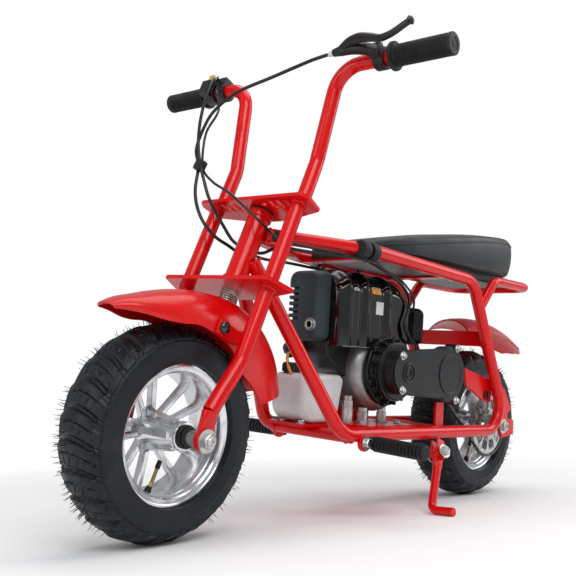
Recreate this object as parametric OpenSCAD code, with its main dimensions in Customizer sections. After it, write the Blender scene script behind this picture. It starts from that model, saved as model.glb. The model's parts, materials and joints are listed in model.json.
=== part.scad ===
// Small off-road minibike, parked on its side stand.
// The finished frame: +X forward, +Y to the left, +Z up, origin on the floor under
// the middle of the leaning bike. Modules are drawn upright, from a point on the
// floor under the rear axle, and then leaned.

/* [Stance] */
// Distance between the two axles
wheelbase = 763.4; // [740:0.1:790]
// Lean to the left onto the side stand, in degrees
lean = 6; // [5:0.5:7]
// How far the bars are turned to the left, in degrees
steer = 3.7; // [0:0.1:6]
// Slope of the steering axis, in degrees
rake = 21.6; // [20:0.1:24]

/* [Wheels] */
// Radius out to the tips of the tread lugs
tyre_r = 145; // [140:0.5:148]
// Width of the tyre across its tread
tyre_w = 90; // [80:1:94]
// Radius of the tread's crown, across the tyre
crown_r = 62; // [56:1:70]
// Radius of the rim's edge
rim_r = 93; // [90:0.5:96]
// Width of the rim across its edges
rim_w = 68; // [60:1:70]
// Radius of the wheel hub
hub_r = 21; // [18:0.5:24]
// Radius of the wheel axles
axle_r = 6; // [5:0.5:7]

/* [Frame] */
// Radius of the frame tubes
frame_r = 11; // [9:0.5:12]
// Half the distance between the two frame loops
frame_y = 86; // [82:1:90]
// Height of the bottom rails
rail_z = 137; // [132:1:142]
// Height of the top rails
top_z = 430; // [424:1:436]
// Radius of the head tube
head_r = 17; // [15:0.5:19]

/* [Fork and bars] */
// Radius of the fork tubes
fork_r = 11; // [9:0.5:12]
// Half the distance between the fork tubes
fork_y = 82.5; // [78:0.5:86]
// Radius of the handlebar tubes
bar_r = 11; // [9:0.5:12]
// Distance from the middle to the end of each grip
grip_y = 286; // [270:1:300]
// Radius of the hand grips
grip_r = 16; // [14:0.5:18]

/* [Body] */
// Thickness of the moulded fenders
fender_t = 3; // [2:0.5:4]
// Thickness of the steel plates
plate_t = 5; // [4:0.5:6]
// Length of the seat
seat_l = 496; // [470:1:510]

/* [Hidden] */
$fn = 48;

// Gap between two pieces that are fixed to each other
seat_gap = 0.2;
// Gap between a shaft and the hole that it turns in
run_gap = 0.06;
// Gap between the handlebar and what is clamped or pushed onto it
grip_gap = 0.3;

// The ring radius of the tread's crown, and the axle's height once leaned
ring_r = tyre_r - crown_r;
lift = ring_r * cos(lean) + crown_r - tyre_r * cos(lean);

// The steering axis meets this point, and the front axle hangs off it
head_x = wheelbase - 113.7;
head_z = 359.9;
axle_s = -241.7;
axle_t = 26.7;

// The tip of the rear fender, and the ends of the handlebars
tail_x = -197;
bar_t = 41;
bar_s = 341;

// The middle of the leaning bike, as seen from above
middle_x = (wheelbase + tyre_r + tail_x) / 2;
middle_y = (head_z + bar_t * sin(rake) + bar_s * cos(rake)) * sin(lean);

// Distances along the steering axis
stem_low = -40;
lower_s = -18;
lower_t = 6;
upper_s = 119;
head_low = -8;
head_high = 115;

// The top and bottom corners of the frame loops, seen from the side
rear_top = [130, 418];
rear_low = [-18, rail_z];
front_low = [487, rail_z + 4];
loop_bend = 46;

// The engine's shafts, and the posts that it stands on
post_x = [300, 365];
post_y = [-40, -22];
crank = [325, 240];
output = [197, 241];
chain_y = 57;

// The bars across the frame, and what rests on them
cross_r = 9;
plate_z = rail_z + cross_r + seat_gap;
fender_x = 71;
pan_z = top_z - 6;

// The side stand
stand_pin = [238, 98, 104];
stand_r = 7;
stand_down = [0.58, 0.28, -0.765];
stand_up = [-0.985, 0.09, 0.165];

module at_floor() {
    translate([-middle_x, -middle_y, lift]) rotate([-lean, 0, 0]) children();
}

module at_head() {
    translate([head_x, 0, head_z]) rotate([0, -rake, 0]) children();
}

module steered() {
    at_head() rotate([0, 0, steer]) children();
}

module at_rear_axle() {
    translate([0, 0, tyre_r]) rotate([-90, 0, 0]) children();
}

module at_front_axle() {
    translate([axle_t, 0, axle_s]) rotate([-90, 0, 0]) children();
}

module both_sides() {
    children();
    mirror([0, 1, 0]) children();
}

// A round bar between two points
function unit(v) = v / norm(v);

module rod(a, b, r) {
    d = b - a;
    translate(a) rotate([0, acos(d[2] / norm(d)), atan2(d[1], d[0])]) cylinder(r = r, h = norm(d));
}

// A bent tube through a list of corners, each rounded to one bend radius
function turn(p, i) = acos(unit(p[i] - p[i - 1]) * unit(p[i + 1] - p[i]));
function cut_back(p, i, bend) = i == 0 || i == len(p) - 1 ? 0 : bend * tan(turn(p, i) / 2);

// A bend draws the tube in a little, and laps into the straight runs beside it
bend_draw = 0.25;
function bend_lap(bend) = 0.6 * sqrt(2 * bend * bend_draw) / bend * 180 / PI;

module elbow(a, corner, b, r, bend) {
    din = unit(corner - a);
    dout = unit(b - corner);
    bent = acos(din * dout);
    axis = unit(cross(din, dout));
    out = cross(din, axis);
    start = corner - din * bend * tan(bent / 2);
    mid = start - out * bend;
    lap = bend_lap(bend);
    multmatrix([
        [out[0], din[0], axis[0], mid[0]],
        [out[1], din[1], axis[1], mid[1]],
        [out[2], din[2], axis[2], mid[2]],
        [0, 0, 0, 1]
    ]) rotate(-lap) rotate_extrude(angle = bent + 2 * lap) translate([bend, 0]) circle(r = r - bend_draw);
}

module tube(p, r, bend) {
    for (i = [0 : len(p) - 2]) {
        d = unit(p[i + 1] - p[i]);
        rod(p[i] + d * cut_back(p, i, bend), p[i + 1] - d * cut_back(p, i + 1, bend), r);
    }
    for (i = [1 : len(p) - 2]) elbow(p[i - 1], p[i], p[i + 1], r, bend);
}

// A plate cut from an outline of x and z, between two values of y
module side_plate(outline, y0, y1) {
    translate([0, y1, 0]) rotate([90, 0, 0]) linear_extrude(y1 - y0) polygon(outline);
}

module cross_bar(x, z, y0, y1, r) {
    translate([x, y0, z]) rotate([-90, 0, 0]) cylinder(r = r, h = y1 - y0);
}

module hex_bolt(r, h) {
    cylinder(r = r, h = h, $fn = 6);
}

// Frame

head_pipe_low = [head_x - 20, 14, head_z + 30];
head_pipe_high = [head_x - 44, 12, head_z + 74];

function loop_path(y) = [
    head_pipe_high,
    [440, y - 2, top_z + 1],
    [rear_top[0], y, rear_top[1]],
    [rear_low[0], y, rear_low[1]],
    [front_low[0], y - 3, front_low[1]],
    head_pipe_low
];

module head_clearance(gap) {
    at_head() translate([0, 0, head_low]) cylinder(r = head_r + gap, h = head_high - head_low);
}

module frame_loop() {
    difference() {
        tube(loop_path(frame_y), frame_r, loop_bend);
        head_clearance(seat_gap);
    }
}

module frame_loop_left() color("red") at_floor() frame_loop();

module frame_loop_right() color("red") at_floor() mirror([0, 1, 0]) frame_loop();

module head_tube() {
    color("red") at_floor() at_head() difference() {
        union() {
            translate([0, 0, head_low]) cylinder(r = head_r, h = head_high - head_low);
            for (s = [head_low, head_high - 10]) translate([0, 0, s]) cylinder(r = head_r + 2.5, h = 10);
        }
        translate([0, 0, head_low - 1]) cylinder(r = stem_r + run_gap, h = head_high - head_low + 2);
    }
}

module cross_members() {
    color("red") at_floor() difference() {
        union() {
            for (x = [160, 290, 375, 465]) cross_bar(x, rail_z, -frame_y, frame_y, cross_r);
            translate([fender_x, -frame_y, 297]) cube([plate_t, 2 * frame_y, 29]);
            for (x = [150, 400]) translate([x, -frame_y, pan_z - seat_gap - 4]) cube([26, 2 * frame_y, 4]);
        }
        both_sides() tube(loop_path(frame_y), frame_r + seat_gap, loop_bend);
    }
}

module dropout_plates() {
    color("red") at_floor() both_sides() difference() {
        union() {
            side_plate([[12, 222], [-2, 219], [-33, 178], [-18, 168], [-20, 160], [-44, 156],
                [-45, 128], [0, 122], [20, 150]], frame_y - 2.5, frame_y + 2.5);
            side_plate([[127, 254], [24, 232], [26, 190], [56, 194], [117, 222]],
                frame_y - frame_r - 5.2, frame_y - frame_r - seat_gap);
        }
        tube(loop_path(frame_y), frame_r + seat_gap, loop_bend);
        cross_bar(0, tyre_r, 0, 200, axle_r + seat_gap);
    }
}

module engine_plate() {
    color("red") at_floor() {
        translate([0, 0, plate_z]) linear_extrude(plate_t) polygon([
            [270, -70], [400, -70], [415, -56], [508, -56], [508, 20], [415, 20], [400, 70], [270, 70]]);
        side_plate([[193, rail_z + frame_r - 1], [217, rail_z + frame_r - 1], [217, 190], [193, 190]],
            frame_y - frame_r - plate_t, frame_y - frame_r - seat_gap);
    }
    color("silver") at_floor() for (x = post_x, y = post_y)
        translate([x, y, plate_z + plate_t]) hex_bolt(8, 176 - plate_z - plate_t - seat_gap);
}

module seat_hoop() {
    color("red") at_floor() difference() {
        tube([
            [100, frame_y, 370], [50, frame_y, 427], [-96, frame_y, 427],
            [-96, -frame_y, 427], [50, -frame_y, 427], [100, -frame_y, 370]
        ], 9, 32);
        tube(loop_path(frame_y), frame_r + seat_gap, loop_bend);
        mirror([0, 1, 0]) tube(loop_path(frame_y), frame_r + seat_gap, loop_bend);
    }
}

module foot_peg() {
    color("red") difference() {
        side_plate([[418, 122], [472, 122], [472, 146], [418, 146]], frame_y + 3, frame_y + 10);
        tube(loop_path(frame_y), frame_r + seat_gap, loop_bend);
    }
    color("#222222") translate([445, frame_y + 10, 128]) rotate([-82, 0, 0]) {
        cylinder(r = 12, h = 98);
        for (i = [0 : 7]) translate([0, 0, 8 + i * 11.5]) cylinder(r = 14, h = 6);
    }
}

module foot_peg_left() at_floor() foot_peg();

module foot_peg_right() at_floor() mirror([0, 1, 0]) foot_peg();

// Side stand

module on_stand_pin() {
    x = unit(stand_down);
    z = unit(cross(stand_down, stand_up));
    y = cross(z, x);
    translate(stand_pin) multmatrix([
        [x[0], y[0], z[0], 0],
        [x[1], y[1], z[1], 0],
        [x[2], y[2], z[2], 0],
        [0, 0, 0, 1]
    ]) children();
}

module stand_bracket() {
    color("red") at_floor() difference() {
        union() {
            on_stand_pin() {
                for (z = [-9, 5]) translate([0, 0, z]) linear_extrude(4) hull() {
                    circle(r = 12);
                    translate([-22, -14]) square([2, 14]);
                }
                translate([0, 0, -13]) cylinder(r = 5, h = 26);
                for (z = [-16, 9]) translate([0, 0, z]) hex_bolt(8, 5);
            }
        }
        tube(loop_path(frame_y), frame_r + seat_gap, loop_bend);
    }
}

stand_dir = unit(stand_down);
function row_z(p) = p[2] * cos(lean) - p[1] * sin(lean) + lift;
stand_l = (row_z(stand_pin) - stand_r) / (stand_dir[1] * sin(lean) - stand_dir[2] * cos(lean));

module side_stand() {
    color("red") at_floor() difference() {
        union() {
            on_stand_pin() {
                translate([0, 0, -4]) cylinder(r = 12, h = 8);
                translate([0, -7, -4]) cube([30, 14, 8]);
            }
            foot = stand_pin + stand_dir * stand_l;
            tube([stand_pin + stand_dir * 22, foot, foot + [0, cos(lean), sin(lean)] * 42], stand_r, 14);
        }
        on_stand_pin() translate([0, 0, -20]) cylinder(r = 5 + run_gap, h = 40);
    }
}

// Seat

module seat_pan() {
    color("#1c1f22") at_floor() translate([0, 0, pan_z]) linear_extrude(top_z + frame_r + 0.4 - pan_z) hull()
        for (e = [[-30, 52], [150, 56], [415, 48]]) both_sides() translate([e[0], e[1]]) circle(r = 14);
}

module seat_cushion() {
    // Along the seat: place, half width to the ball, height of the ball, its radius
    sections = [[-24, 66, 498, 24], [120, 68, 489, 23], [300, 60, 466, 18], [seat_l - 78, 52, 451.6, 9]];
    low = top_z + frame_r + 0.8;
    color("#20262b") at_floor() for (i = [0 : 2]) hull() for (k = [i, i + 1]) both_sides() {
        translate([sections[k][0], sections[k][1], sections[k][2]]) sphere(r = sections[k][3], $fn = 24);
        translate([sections[k][0], sections[k][1], low]) cylinder(r = sections[k][3] - 3, h = 3, $fn = 24);
    }
}

// Fenders

module fender_shell(major, minor, low) {
    difference() {
        intersection() {
            rotate_extrude() translate([major, 0]) circle(r = minor);
            cylinder(r = major + 200, h = 400, center = true);
        }
        rotate_extrude() translate([major, 0]) circle(r = minor - fender_t);
        cylinder(r = low, h = 400, center = true);
    }
}

module rear_fender() {
    color("red") at_floor() intersection() {
        translate([5, 0, -13]) rotate([-90, 0, 0]) fender_shell(308, 60, 345.5);
        translate([0, 0, 250]) linear_extrude(200) polygon([
            [fender_x - seat_gap, 60], [fender_x - seat_gap, -60], [-120, -54], [-190, -22], [tail_x, 0],
            [-190, 22], [-120, 54]]);
    }
}

module front_fender() {
    color("red") at_floor() steered() intersection() {
        at_front_axle() fender_shell(140, 58, 152);
        translate([0, 0, -160]) linear_extrude(200) polygon([
            [194, 12], [184, 28], [120, 56], [0, 58], [-90, 44], [-136, 26],
            [-136, -26], [-90, -44], [0, -58], [120, -56], [184, -28], [194, -12]]);
    }
}

// Wheels, drawn on an axle along +Z

half_w = tyre_w / 2;
bead_r = rim_r - 9;

module tyre_section() {
    difference() {
        intersection() {
            translate([ring_r, 0]) circle(r = crown_r);
            for_both_walls(53, half_w - 53);
            translate([bead_r + seat_gap, -half_w]) square([100, tyre_w]);
        }
        for (s = [0, 1]) mirror([0, s]) translate([0, rim_w / 2 - 4 - seat_gap])
            square([rim_r + 2 * seat_gap, half_w]);
    }
}

module for_both_walls(r, offset_y) {
    intersection() {
        translate([112, offset_y]) circle(r = r);
        translate([112, -offset_y]) circle(r = r);
    }
}

module tyre() {
    rotate_extrude($fn = 96) tyre_section();
}

module rim(spokes = 5) {
    barrel = 5;
    edge = rim_w / 2;
    rotate_extrude($fn = 96) polygon([
        [bead_r - barrel, -edge], [rim_r, -edge], [rim_r, -edge + 4], [bead_r, -edge + 4],
        [bead_r, edge - 4], [rim_r, edge - 4], [rim_r, edge], [bead_r - barrel, edge]]);
    difference() {
        union() {
            translate([0, 0, -edge + 4]) cylinder(r = hub_r, h = rim_w - 8);
            for (i = [0 : spokes - 1]) rotate(i * 360 / spokes) translate([0, 0, -8]) linear_extrude(16) {
                for (s = [0, 1]) mirror([0, s]) polygon([
                    [hub_r - 6, 1], [bead_r - barrel + 2, 12], [bead_r - barrel + 1, 21], [hub_r - 6, 10]]);
            }
        }
        translate([0, 0, -rim_w]) cylinder(r = axle_r + run_gap, h = 2 * rim_w);
    }
}

module rear_tyre() color("#1d2225") at_floor() at_rear_axle() tyre();

module rear_rim() color("silver") at_floor() at_rear_axle() rim();

module rear_sprocket() {
    color("gray") at_floor() at_rear_axle() difference() {
        union() {
            translate([0, 0, chain_y - 2]) cylinder(r = 57, h = 4);
            translate([0, 0, rim_w / 2 - 4]) cylinder(r = 20, h = chain_y - rim_w / 2 + 2);
        }
        translate([0, 0, 0]) cylinder(r = axle_r + run_gap, h = 100);
        for (i = [0 : 9]) rotate(i * 36) translate([40, 0, 0]) cylinder(r = 8, h = 100);
    }
}

module brake_disc() {
    color("silver") at_floor() at_rear_axle() difference() {
        union() {
            translate([0, 0, -chain_y]) cylinder(r = 55, h = 3);
            translate([0, 0, -chain_y + 3]) cylinder(r = 20, h = chain_y - rim_w / 2 + 1);
        }
        translate([0, 0, -100]) cylinder(r = axle_r + run_gap, h = 100);
        for (i = [0 : 11]) rotate(i * 30) translate([42, 0, -100]) cylinder(r = 5, h = 100);
    }
}

module brake_caliper() {
    color("#333333") at_floor() difference() {
        translate([34, -frame_y + frame_r + 5.5, 162]) cube([34, 22, 42]);
        at_rear_axle() translate([0, 0, -chain_y - 3]) cylinder(r = 59, h = 9);
    }
}

module rear_axle() {
    end = frame_y + 10;
    color("silver") at_floor() at_rear_axle() {
        translate([0, 0, -end]) cylinder(r = axle_r, h = 2 * end);
        for (z = [-frame_y - 10.7, frame_y + 2.7]) translate([0, 0, z]) hex_bolt(10, 8);
        for (z = [-frame_y + 2.7, chain_y + 2.3]) translate([0, 0, z]) cylinder(r = 10, h = frame_y - chain_y - 5);
    }
}

module chain_outline(grow) {
    hull() {
        circle(r = 62 + grow);
        translate([output[0], -(output[1] - tyre_r)]) circle(r = 20 + grow);
    }
}

module drive_chain() {
    color("#2a2a2a") at_floor() at_rear_axle() translate([0, 0, chain_y - 3]) linear_extrude(6)
        difference() {
            chain_outline(2);
            chain_outline(-4);
        }
}

module drive_sprocket() {
    color("gray") at_floor() translate([output[0], chain_y - 2, output[1]]) rotate([-90, 0, 0]) {
        cylinder(r = 15, h = 4);
        translate([0, 0, -14]) cylinder(r = 8, h = 25);
    }
}

// Engine

module on_crank() {
    translate([crank[0], 0, crank[1]]) rotate([-90, 0, 0]) children();
}

module engine_block() {
    color("#8d9093") at_floor() {
        translate([crank[0] - 42, -52, 184]) cube([84, 40, 91]);
        translate([crank[0] - 32, -48, 275]) cube([64, 36, 40]);
        translate([crank[0] - 32, -48, 310]) cube([64, 64, 74]);
        for (x = post_x, y = post_y) translate([x, y, 176]) cylinder(r = 6, h = 9);
    }
}

module fan_case() {
    color("#9a9da0") at_floor() on_crank() rotate_extrude() polygon([
        [8, -11.8], [68, -11.8], [68, 20], [60, 30], [50, 35], [8, 35]]);
}

module clutch_housing() {
    color("#141414") at_floor() on_crank() difference() {
        union() {
            translate([0, 0, 35 + seat_gap]) cylinder(r = 57, h = 11);
            translate([0, 0, 40]) cylinder(r = 48, h = 26);
            for (z = [50, 58]) translate([0, 0, z]) cylinder(r = 50, h = 4);
            for (i = [0 : 11]) rotate(i * 30) translate([40, -2, 36]) cube([16, 4, 20]);
        }
    }
}

module reduction_case() {
    color("#141414") at_floor() translate([0, 88, 0]) rotate([90, 0, 0]) {
        linear_extrude(21.8) hull() {
            translate(output) circle(r = 50);
            translate([crank[0] + 6, crank[1] - 35]) square([16, 70]);
        }
        translate([output[0], output[1], -3]) cylinder(r = 33, h = 3.01);
        translate([crank[0], crank[1], -2]) cylinder(r = 14, h = 2.01);
    }
}

module engine_cowl() {
    color("#0d0d0d") at_floor() difference() {
        hull() {
            for (x = [275, 425], z = [300, 380]) translate([x, -56, z]) rotate([-90, 0, 0])
                cylinder(r = 22, h = 92, $fn = 32);
            translate([253, -50, 276]) cube([190, 80, 2]);
        }
        translate([crank[0] - 33, -49, 260]) cube([66, 66, 125]);
        on_crank() {
            translate([0, 0, -52]) cylinder(r = 69, h = 100);
            translate([0, 0, -100]) cylinder(r = 59, h = 100);
        }
    }
}

module muffler_guard() {
    color("#3a444b") at_floor() difference() {
        hull() {
            translate([447.3, -60, 282]) cube([4, 72, 118]);
            translate([476, -56, 288]) cube([4, 62, 106]);
        }
        for (i = [0 : 3]) translate([454, -61, 318 + i * 14]) cube([40, 20, 6]);
        translate([460, 0, 309]) rotate([0, 90, 0]) cylinder(r = 9, h = 30);
    }
}

module recoil_starter() {
    color("#141414") at_floor() on_crank() rotate_extrude() polygon([
        [0, -53], [58, -53], [58, -66], [46, -80], [18, -84], [0, -84]]);
}

module air_filter() {
    color("#141414") at_floor() {
        translate([222, -34, 300]) cube([30.8, 46, 46]);
        translate([192, -44, 292]) cube([30, 66, 66]);
    }
}

module fuel_tank() {
    color("#cdcdd0") at_floor() hull() {
        for (x = [412, 490], y = [-38, 2]) translate([x, y, plate_z + plate_t + seat_gap])
            cylinder(r = 14, h = 4, $fn = 32);
        for (x = [412, 504], y = [-40, 2]) translate([x, y, 224]) cylinder(r = 10, h = 4, $fn = 32);
    }
}

module fuel_cap() {
    color("#141414") at_floor() translate([488, -28, 228.2]) cylinder(r = 15, h = 18);
}

// Steering

stem_r = 10;

module lower_plate() {
    color("red") at_floor() steered() difference() {
        translate([0, 0, lower_s]) linear_extrude(lower_t) polygon([
            [40, 104], [40, -104], [0, -118], [-26, -30], [-26, 30], [0, 118]]);
        for (y = [-fork_y, fork_y]) translate([12.6, y, -60]) cylinder(r = fork_r + seat_gap, h = 90);
        translate([0, 0, -60]) cylinder(r = stem_r + seat_gap, h = 90);
    }
}

module upper_plate() {
    color("red") at_floor() steered() difference() {
        translate([0, 0, upper_s]) linear_extrude(lower_t) polygon([
            [34, 102], [34, -102], [22, -109], [-11, -104], [-30, -30], [-30, 30], [-11, 104], [22, 109]]);
        for (y = [-20, 20]) translate([18, y, 0]) cylinder(r = 5, h = 200);
        translate([0, 0, 60]) cylinder(r = stem_r + seat_gap, h = 90);
    }
}

module steering_stem() {
    color("silver") at_floor() steered() {
        translate([0, 0, stem_low]) cylinder(r = stem_r, h = 134 - stem_low);
        translate([0, 0, lower_s - 8]) hex_bolt(15, 8 - seat_gap);
        translate([0, 0, lower_s - 20]) cylinder(r = 13, h = 12);
        translate([0, 0, upper_s + lower_t]) hex_bolt(15, 9);
    }
}

fender_lug_y = 57;

module fork_tubes() {
    color("red") at_floor() steered() both_sides() {
        difference() {
            union() {
                tube([[12.6, fork_y, upper_s - seat_gap], [12.6, fork_y, -127], [28, fork_y, -183],
                    [34, fork_y, -212]], fork_r, 40);
                translate([8, 58, -92]) cube([10, 16, 18]);
                translate([8, fender_lug_y, -92]) cube([36, 4, 20]);
                hull() {
                    translate([34, fork_y - 5, -214]) rotate([-90, 0, 0]) cylinder(r = 11, h = 10, $fn = 32);
                    translate([axle_t, fork_y - 5, axle_s]) rotate([-90, 0, 0]) cylinder(r = 13, h = 10, $fn = 32);
                }
            }
            translate([axle_t, 0, axle_s]) rotate([-90, 0, 0]) cylinder(r = axle_r + seat_gap, h = 200);
        }
    }
}

module front_axle() {
    end = fork_y + 6;
    color("silver") at_floor() steered() at_front_axle() {
        translate([0, 0, -end]) cylinder(r = axle_r, h = 2 * end);
        for (z = [-end - 5, end - 0.8]) translate([0, 0, z]) hex_bolt(10, 6);
        for (z = [-fork_y + 5.2, rim_w / 2 - 3.7]) translate([0, 0, z])
            cylinder(r = 10, h = fork_y - 1.5 - rim_w / 2);
    }
}

module front_tyre() color("#1d2225") at_floor() steered() at_front_axle() tyre();

module front_rim() color("silver") at_floor() steered() at_front_axle() rim();

bar_path = [
    [7, fork_y, upper_s + lower_t + seat_gap],
    [7, fork_y, 195],
    [bar_t, 95, bar_s],
    [bar_t, grip_y - 3, bar_s]
];

module handlebars() {
    color("red") at_floor() steered() both_sides() tube(bar_path, bar_r, 42);
}

module grip() {
    translate([bar_t, grip_y - 96, bar_s]) rotate([-90, 0, 0]) difference() {
        union() {
            cylinder(r = grip_r, h = 96);
            cylinder(r = grip_r + 5, h = 4);
        }
        translate([0, 0, -1]) cylinder(r = bar_r + grip_gap, h = 94.2);
    }
}

module grip_left() color("#1c1c1c") at_floor() steered() grip();

module grip_right() color("#1c1c1c") at_floor() steered() mirror([0, 1, 0]) grip();

module clamp(y0, w) {
    translate([bar_t, y0, bar_s]) rotate([-90, 0, 0]) difference() {
        cylinder(r = bar_r + 6, h = w);
        translate([0, 0, -1]) cylinder(r = bar_r + grip_gap, h = w + 2);
    }
}

module brake_lever() {
    color("#1c1c1c") at_floor() steered() {
        clamp(160, 22);
        translate([57, 160, 334]) cube([20, 22, 14]);
        tube([[70, 168, 341], [92, 180, 341], [84, 290, 338]], 4.5, 20);
    }
}

module throttle_housing() {
    color("#1c1c1c") at_floor() steered() mirror([0, 1, 0]) {
        clamp(164, 24);
        translate([56, 164, 330]) cube([14, 24, 20]);
    }
}

frame_loop_left();
frame_loop_right();
head_tube();
cross_members();
dropout_plates();
engine_plate();
seat_hoop();
foot_peg_left();
foot_peg_right();
stand_bracket();
side_stand();
seat_pan();
seat_cushion();
rear_fender();
rear_axle();
rear_tyre();
rear_rim();
rear_sprocket();
brake_disc();
brake_caliper();
drive_chain();
drive_sprocket();
engine_block();
engine_cowl();
muffler_guard();
fan_case();
clutch_housing();
reduction_case();
recoil_starter();
air_filter();
fuel_tank();
fuel_cap();
lower_plate();
upper_plate();
steering_stem();
fork_tubes();
front_axle();
front_tyre();
front_rim();
front_fender();
handlebars();
grip_left();
grip_right();
brake_lever();
throttle_housing();
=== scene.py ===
"""A small off-road minibike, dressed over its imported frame.

Shapes are in millimetres until they are placed. BIKE takes the bike's own upright frame
(+X forward, +Y left, +Z up, from the floor under the rear axle) into the scene, where the
bike leans on its stand. STEER does so for the fork and bars (+X ahead of the steering
axis, +Y left, +Z up the axis), and FRONT and REAR for the wheels (+Z along the axle).
"""
import json
import math
import random

import bpy
import bmesh
import numpy as np
from mathutils import Matrix, Vector


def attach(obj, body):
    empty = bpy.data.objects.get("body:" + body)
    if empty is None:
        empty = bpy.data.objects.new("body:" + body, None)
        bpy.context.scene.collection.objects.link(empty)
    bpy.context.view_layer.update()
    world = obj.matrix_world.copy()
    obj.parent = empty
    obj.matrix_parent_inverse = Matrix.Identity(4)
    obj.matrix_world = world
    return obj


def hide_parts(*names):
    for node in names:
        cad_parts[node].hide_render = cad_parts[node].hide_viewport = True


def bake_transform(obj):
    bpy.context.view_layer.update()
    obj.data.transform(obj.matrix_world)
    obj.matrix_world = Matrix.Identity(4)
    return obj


MM = 0.001
PHOTO_PIXELS = 576

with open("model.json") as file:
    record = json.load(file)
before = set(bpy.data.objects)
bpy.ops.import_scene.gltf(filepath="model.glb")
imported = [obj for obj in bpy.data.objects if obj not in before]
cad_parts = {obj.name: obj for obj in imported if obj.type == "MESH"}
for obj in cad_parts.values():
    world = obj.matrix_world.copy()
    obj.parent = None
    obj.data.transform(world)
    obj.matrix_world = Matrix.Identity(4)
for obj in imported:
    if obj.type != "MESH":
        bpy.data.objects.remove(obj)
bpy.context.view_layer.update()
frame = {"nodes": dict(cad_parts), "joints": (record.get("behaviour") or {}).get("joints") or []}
joints = {joint["name"]: joint for joint in frame["joints"]}


# Places

def axes(x, y, z, origin):
    """The matrix from millimetres along three directions to metres in the scene."""
    turn = Matrix((x, y, z)).transposed().to_4x4()
    return Matrix.Translation(origin) @ turn @ Matrix.Scale(MM, 4)


def joint_line(name):
    return Vector(joints[name]["pos_m"]), Vector(joints[name]["axis"]).normalized()


TYRE_R = 145
forward = Vector((1, 0, 0))
rear_axle, rear_left = joint_line("rear_wheel_spin")
front_axle, front_left = joint_line("front_wheel_spin")
head, stem_up = joint_line("steering_turn")
rear_up = forward.cross(rear_left)
ahead = front_left.cross(stem_up)

BIKE = axes(forward, rear_left, rear_up, rear_axle - rear_up * TYRE_R * MM)
STEER = axes(ahead, front_left, stem_up, head)
REAR = axes(forward, -rear_up, rear_left, rear_axle)
FRONT = axes(ahead, -stem_up, front_left, front_axle)


# Materials

class Surface:
    """One procedural material, built from a Principled shader and what is laid over it."""

    def __init__(self, name, colour, roughness, metallic=0.0, **sockets):
        self.name = name
        self.material = bpy.data.materials.new(name)
        self.material.use_nodes = True
        self.tree = self.material.node_tree
        self.shader = self.tree.nodes["Principled BSDF"]
        self.colour = (*colour, 1)
        self.set("Base Color", self.colour)
        self.set("Roughness", roughness)
        self.set("Metallic", metallic)
        for socket, value in sockets.items():
            self.set(socket.replace("_", " "), value)
        self.place = self.node("ShaderNodeTexCoord").outputs["Object"]

    def set(self, socket, value):
        self.shader.inputs[socket].default_value = value

    def node(self, kind, **values):
        made = self.tree.nodes.new(kind)
        for key, value in values.items():
            setattr(made, key, value)
        return made

    def link(self, source, target):
        self.tree.links.new(source, target)

    def noise(self, scale, detail=4.0, stretch=(1, 1, 1), rough=0.55):
        mapping = self.node("ShaderNodeMapping")
        mapping.inputs["Scale"].default_value = stretch
        self.link(self.place, mapping.inputs["Vector"])
        texture = self.node("ShaderNodeTexNoise")
        texture.inputs["Scale"].default_value = scale
        texture.inputs["Detail"].default_value = detail
        texture.inputs["Roughness"].default_value = rough
        self.link(mapping.outputs["Vector"], texture.inputs["Vector"])
        return texture.outputs["Fac"]

    def cells(self, scale, feature="F1"):
        texture = self.node("ShaderNodeTexVoronoi", feature=feature)
        texture.inputs["Scale"].default_value = scale
        self.link(self.place, texture.inputs["Vector"])
        return texture.outputs["Distance"]

    def ranged(self, source, low, high, to_low=0.0, to_high=1.0):
        ramp = self.node("ShaderNodeMapRange")
        for socket, value in zip(("From Min", "From Max", "To Min", "To Max"), (low, high, to_low, to_high)):
            ramp.inputs[socket].default_value = value
        self.link(source, ramp.inputs["Value"])
        return ramp.outputs["Result"]

    def mix_in(self, colour, share):
        """Lays a second colour over the base, where share is 1."""
        mix = self.node("ShaderNodeMix", data_type="RGBA")
        before = self.shader.inputs["Base Color"]
        if before.is_linked:
            self.link(before.links[0].from_socket, mix.inputs["A"])
        else:
            mix.inputs["A"].default_value = self.colour
        mix.inputs["B"].default_value = (*colour, 1)
        self.link(share, mix.inputs["Factor"])
        self.link(mix.outputs["Result"], before)
        return self

    def vary_roughness(self, scale, low, high, stretch=(1, 1, 1)):
        self.link(self.ranged(self.noise(scale, stretch=stretch), 0.3, 0.7, low, high),
                  self.shader.inputs["Roughness"])
        return self

    def bump(self, height, strength, depth_mm):
        bump = self.node("ShaderNodeBump")
        bump.inputs["Strength"].default_value = strength
        bump.inputs["Distance"].default_value = depth_mm * MM
        normal = self.shader.inputs["Normal"]
        if normal.is_linked:
            self.link(normal.links[0].from_socket, bump.inputs["Normal"])
        self.link(height, bump.inputs["Height"])
        self.link(bump.outputs["Normal"], normal)
        return self

    def worn_edges(self, colour, low=0.53, high=0.6):
        """Edges that stick out take a second colour, broken up by a fine noise."""
        edge = self.ranged(self.node("ShaderNodeNewGeometry").outputs["Pointiness"], low, high)
        patch = self.ranged(self.noise(90), 0.45, 0.62)
        both = self.node("ShaderNodeMath", operation="MULTIPLY")
        self.link(edge, both.inputs[0])
        self.link(patch, both.inputs[1])
        return self.mix_in(colour, both.outputs["Value"])


def red_paint():
    paint = Surface("red_paint", (0.66, 0.0015, 0.0025), 0.2, Specular_IOR_Level=0.3, Coat_Weight=0.15,
                    Coat_Roughness=0.05)
    paint.mix_in((0.57, 0.0010, 0.0020), paint.ranged(paint.noise(9), 0.35, 0.65))
    return paint.vary_roughness(14, 0.16, 0.26).bump(paint.noise(320, 2), 0.03, 0.15)


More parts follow.
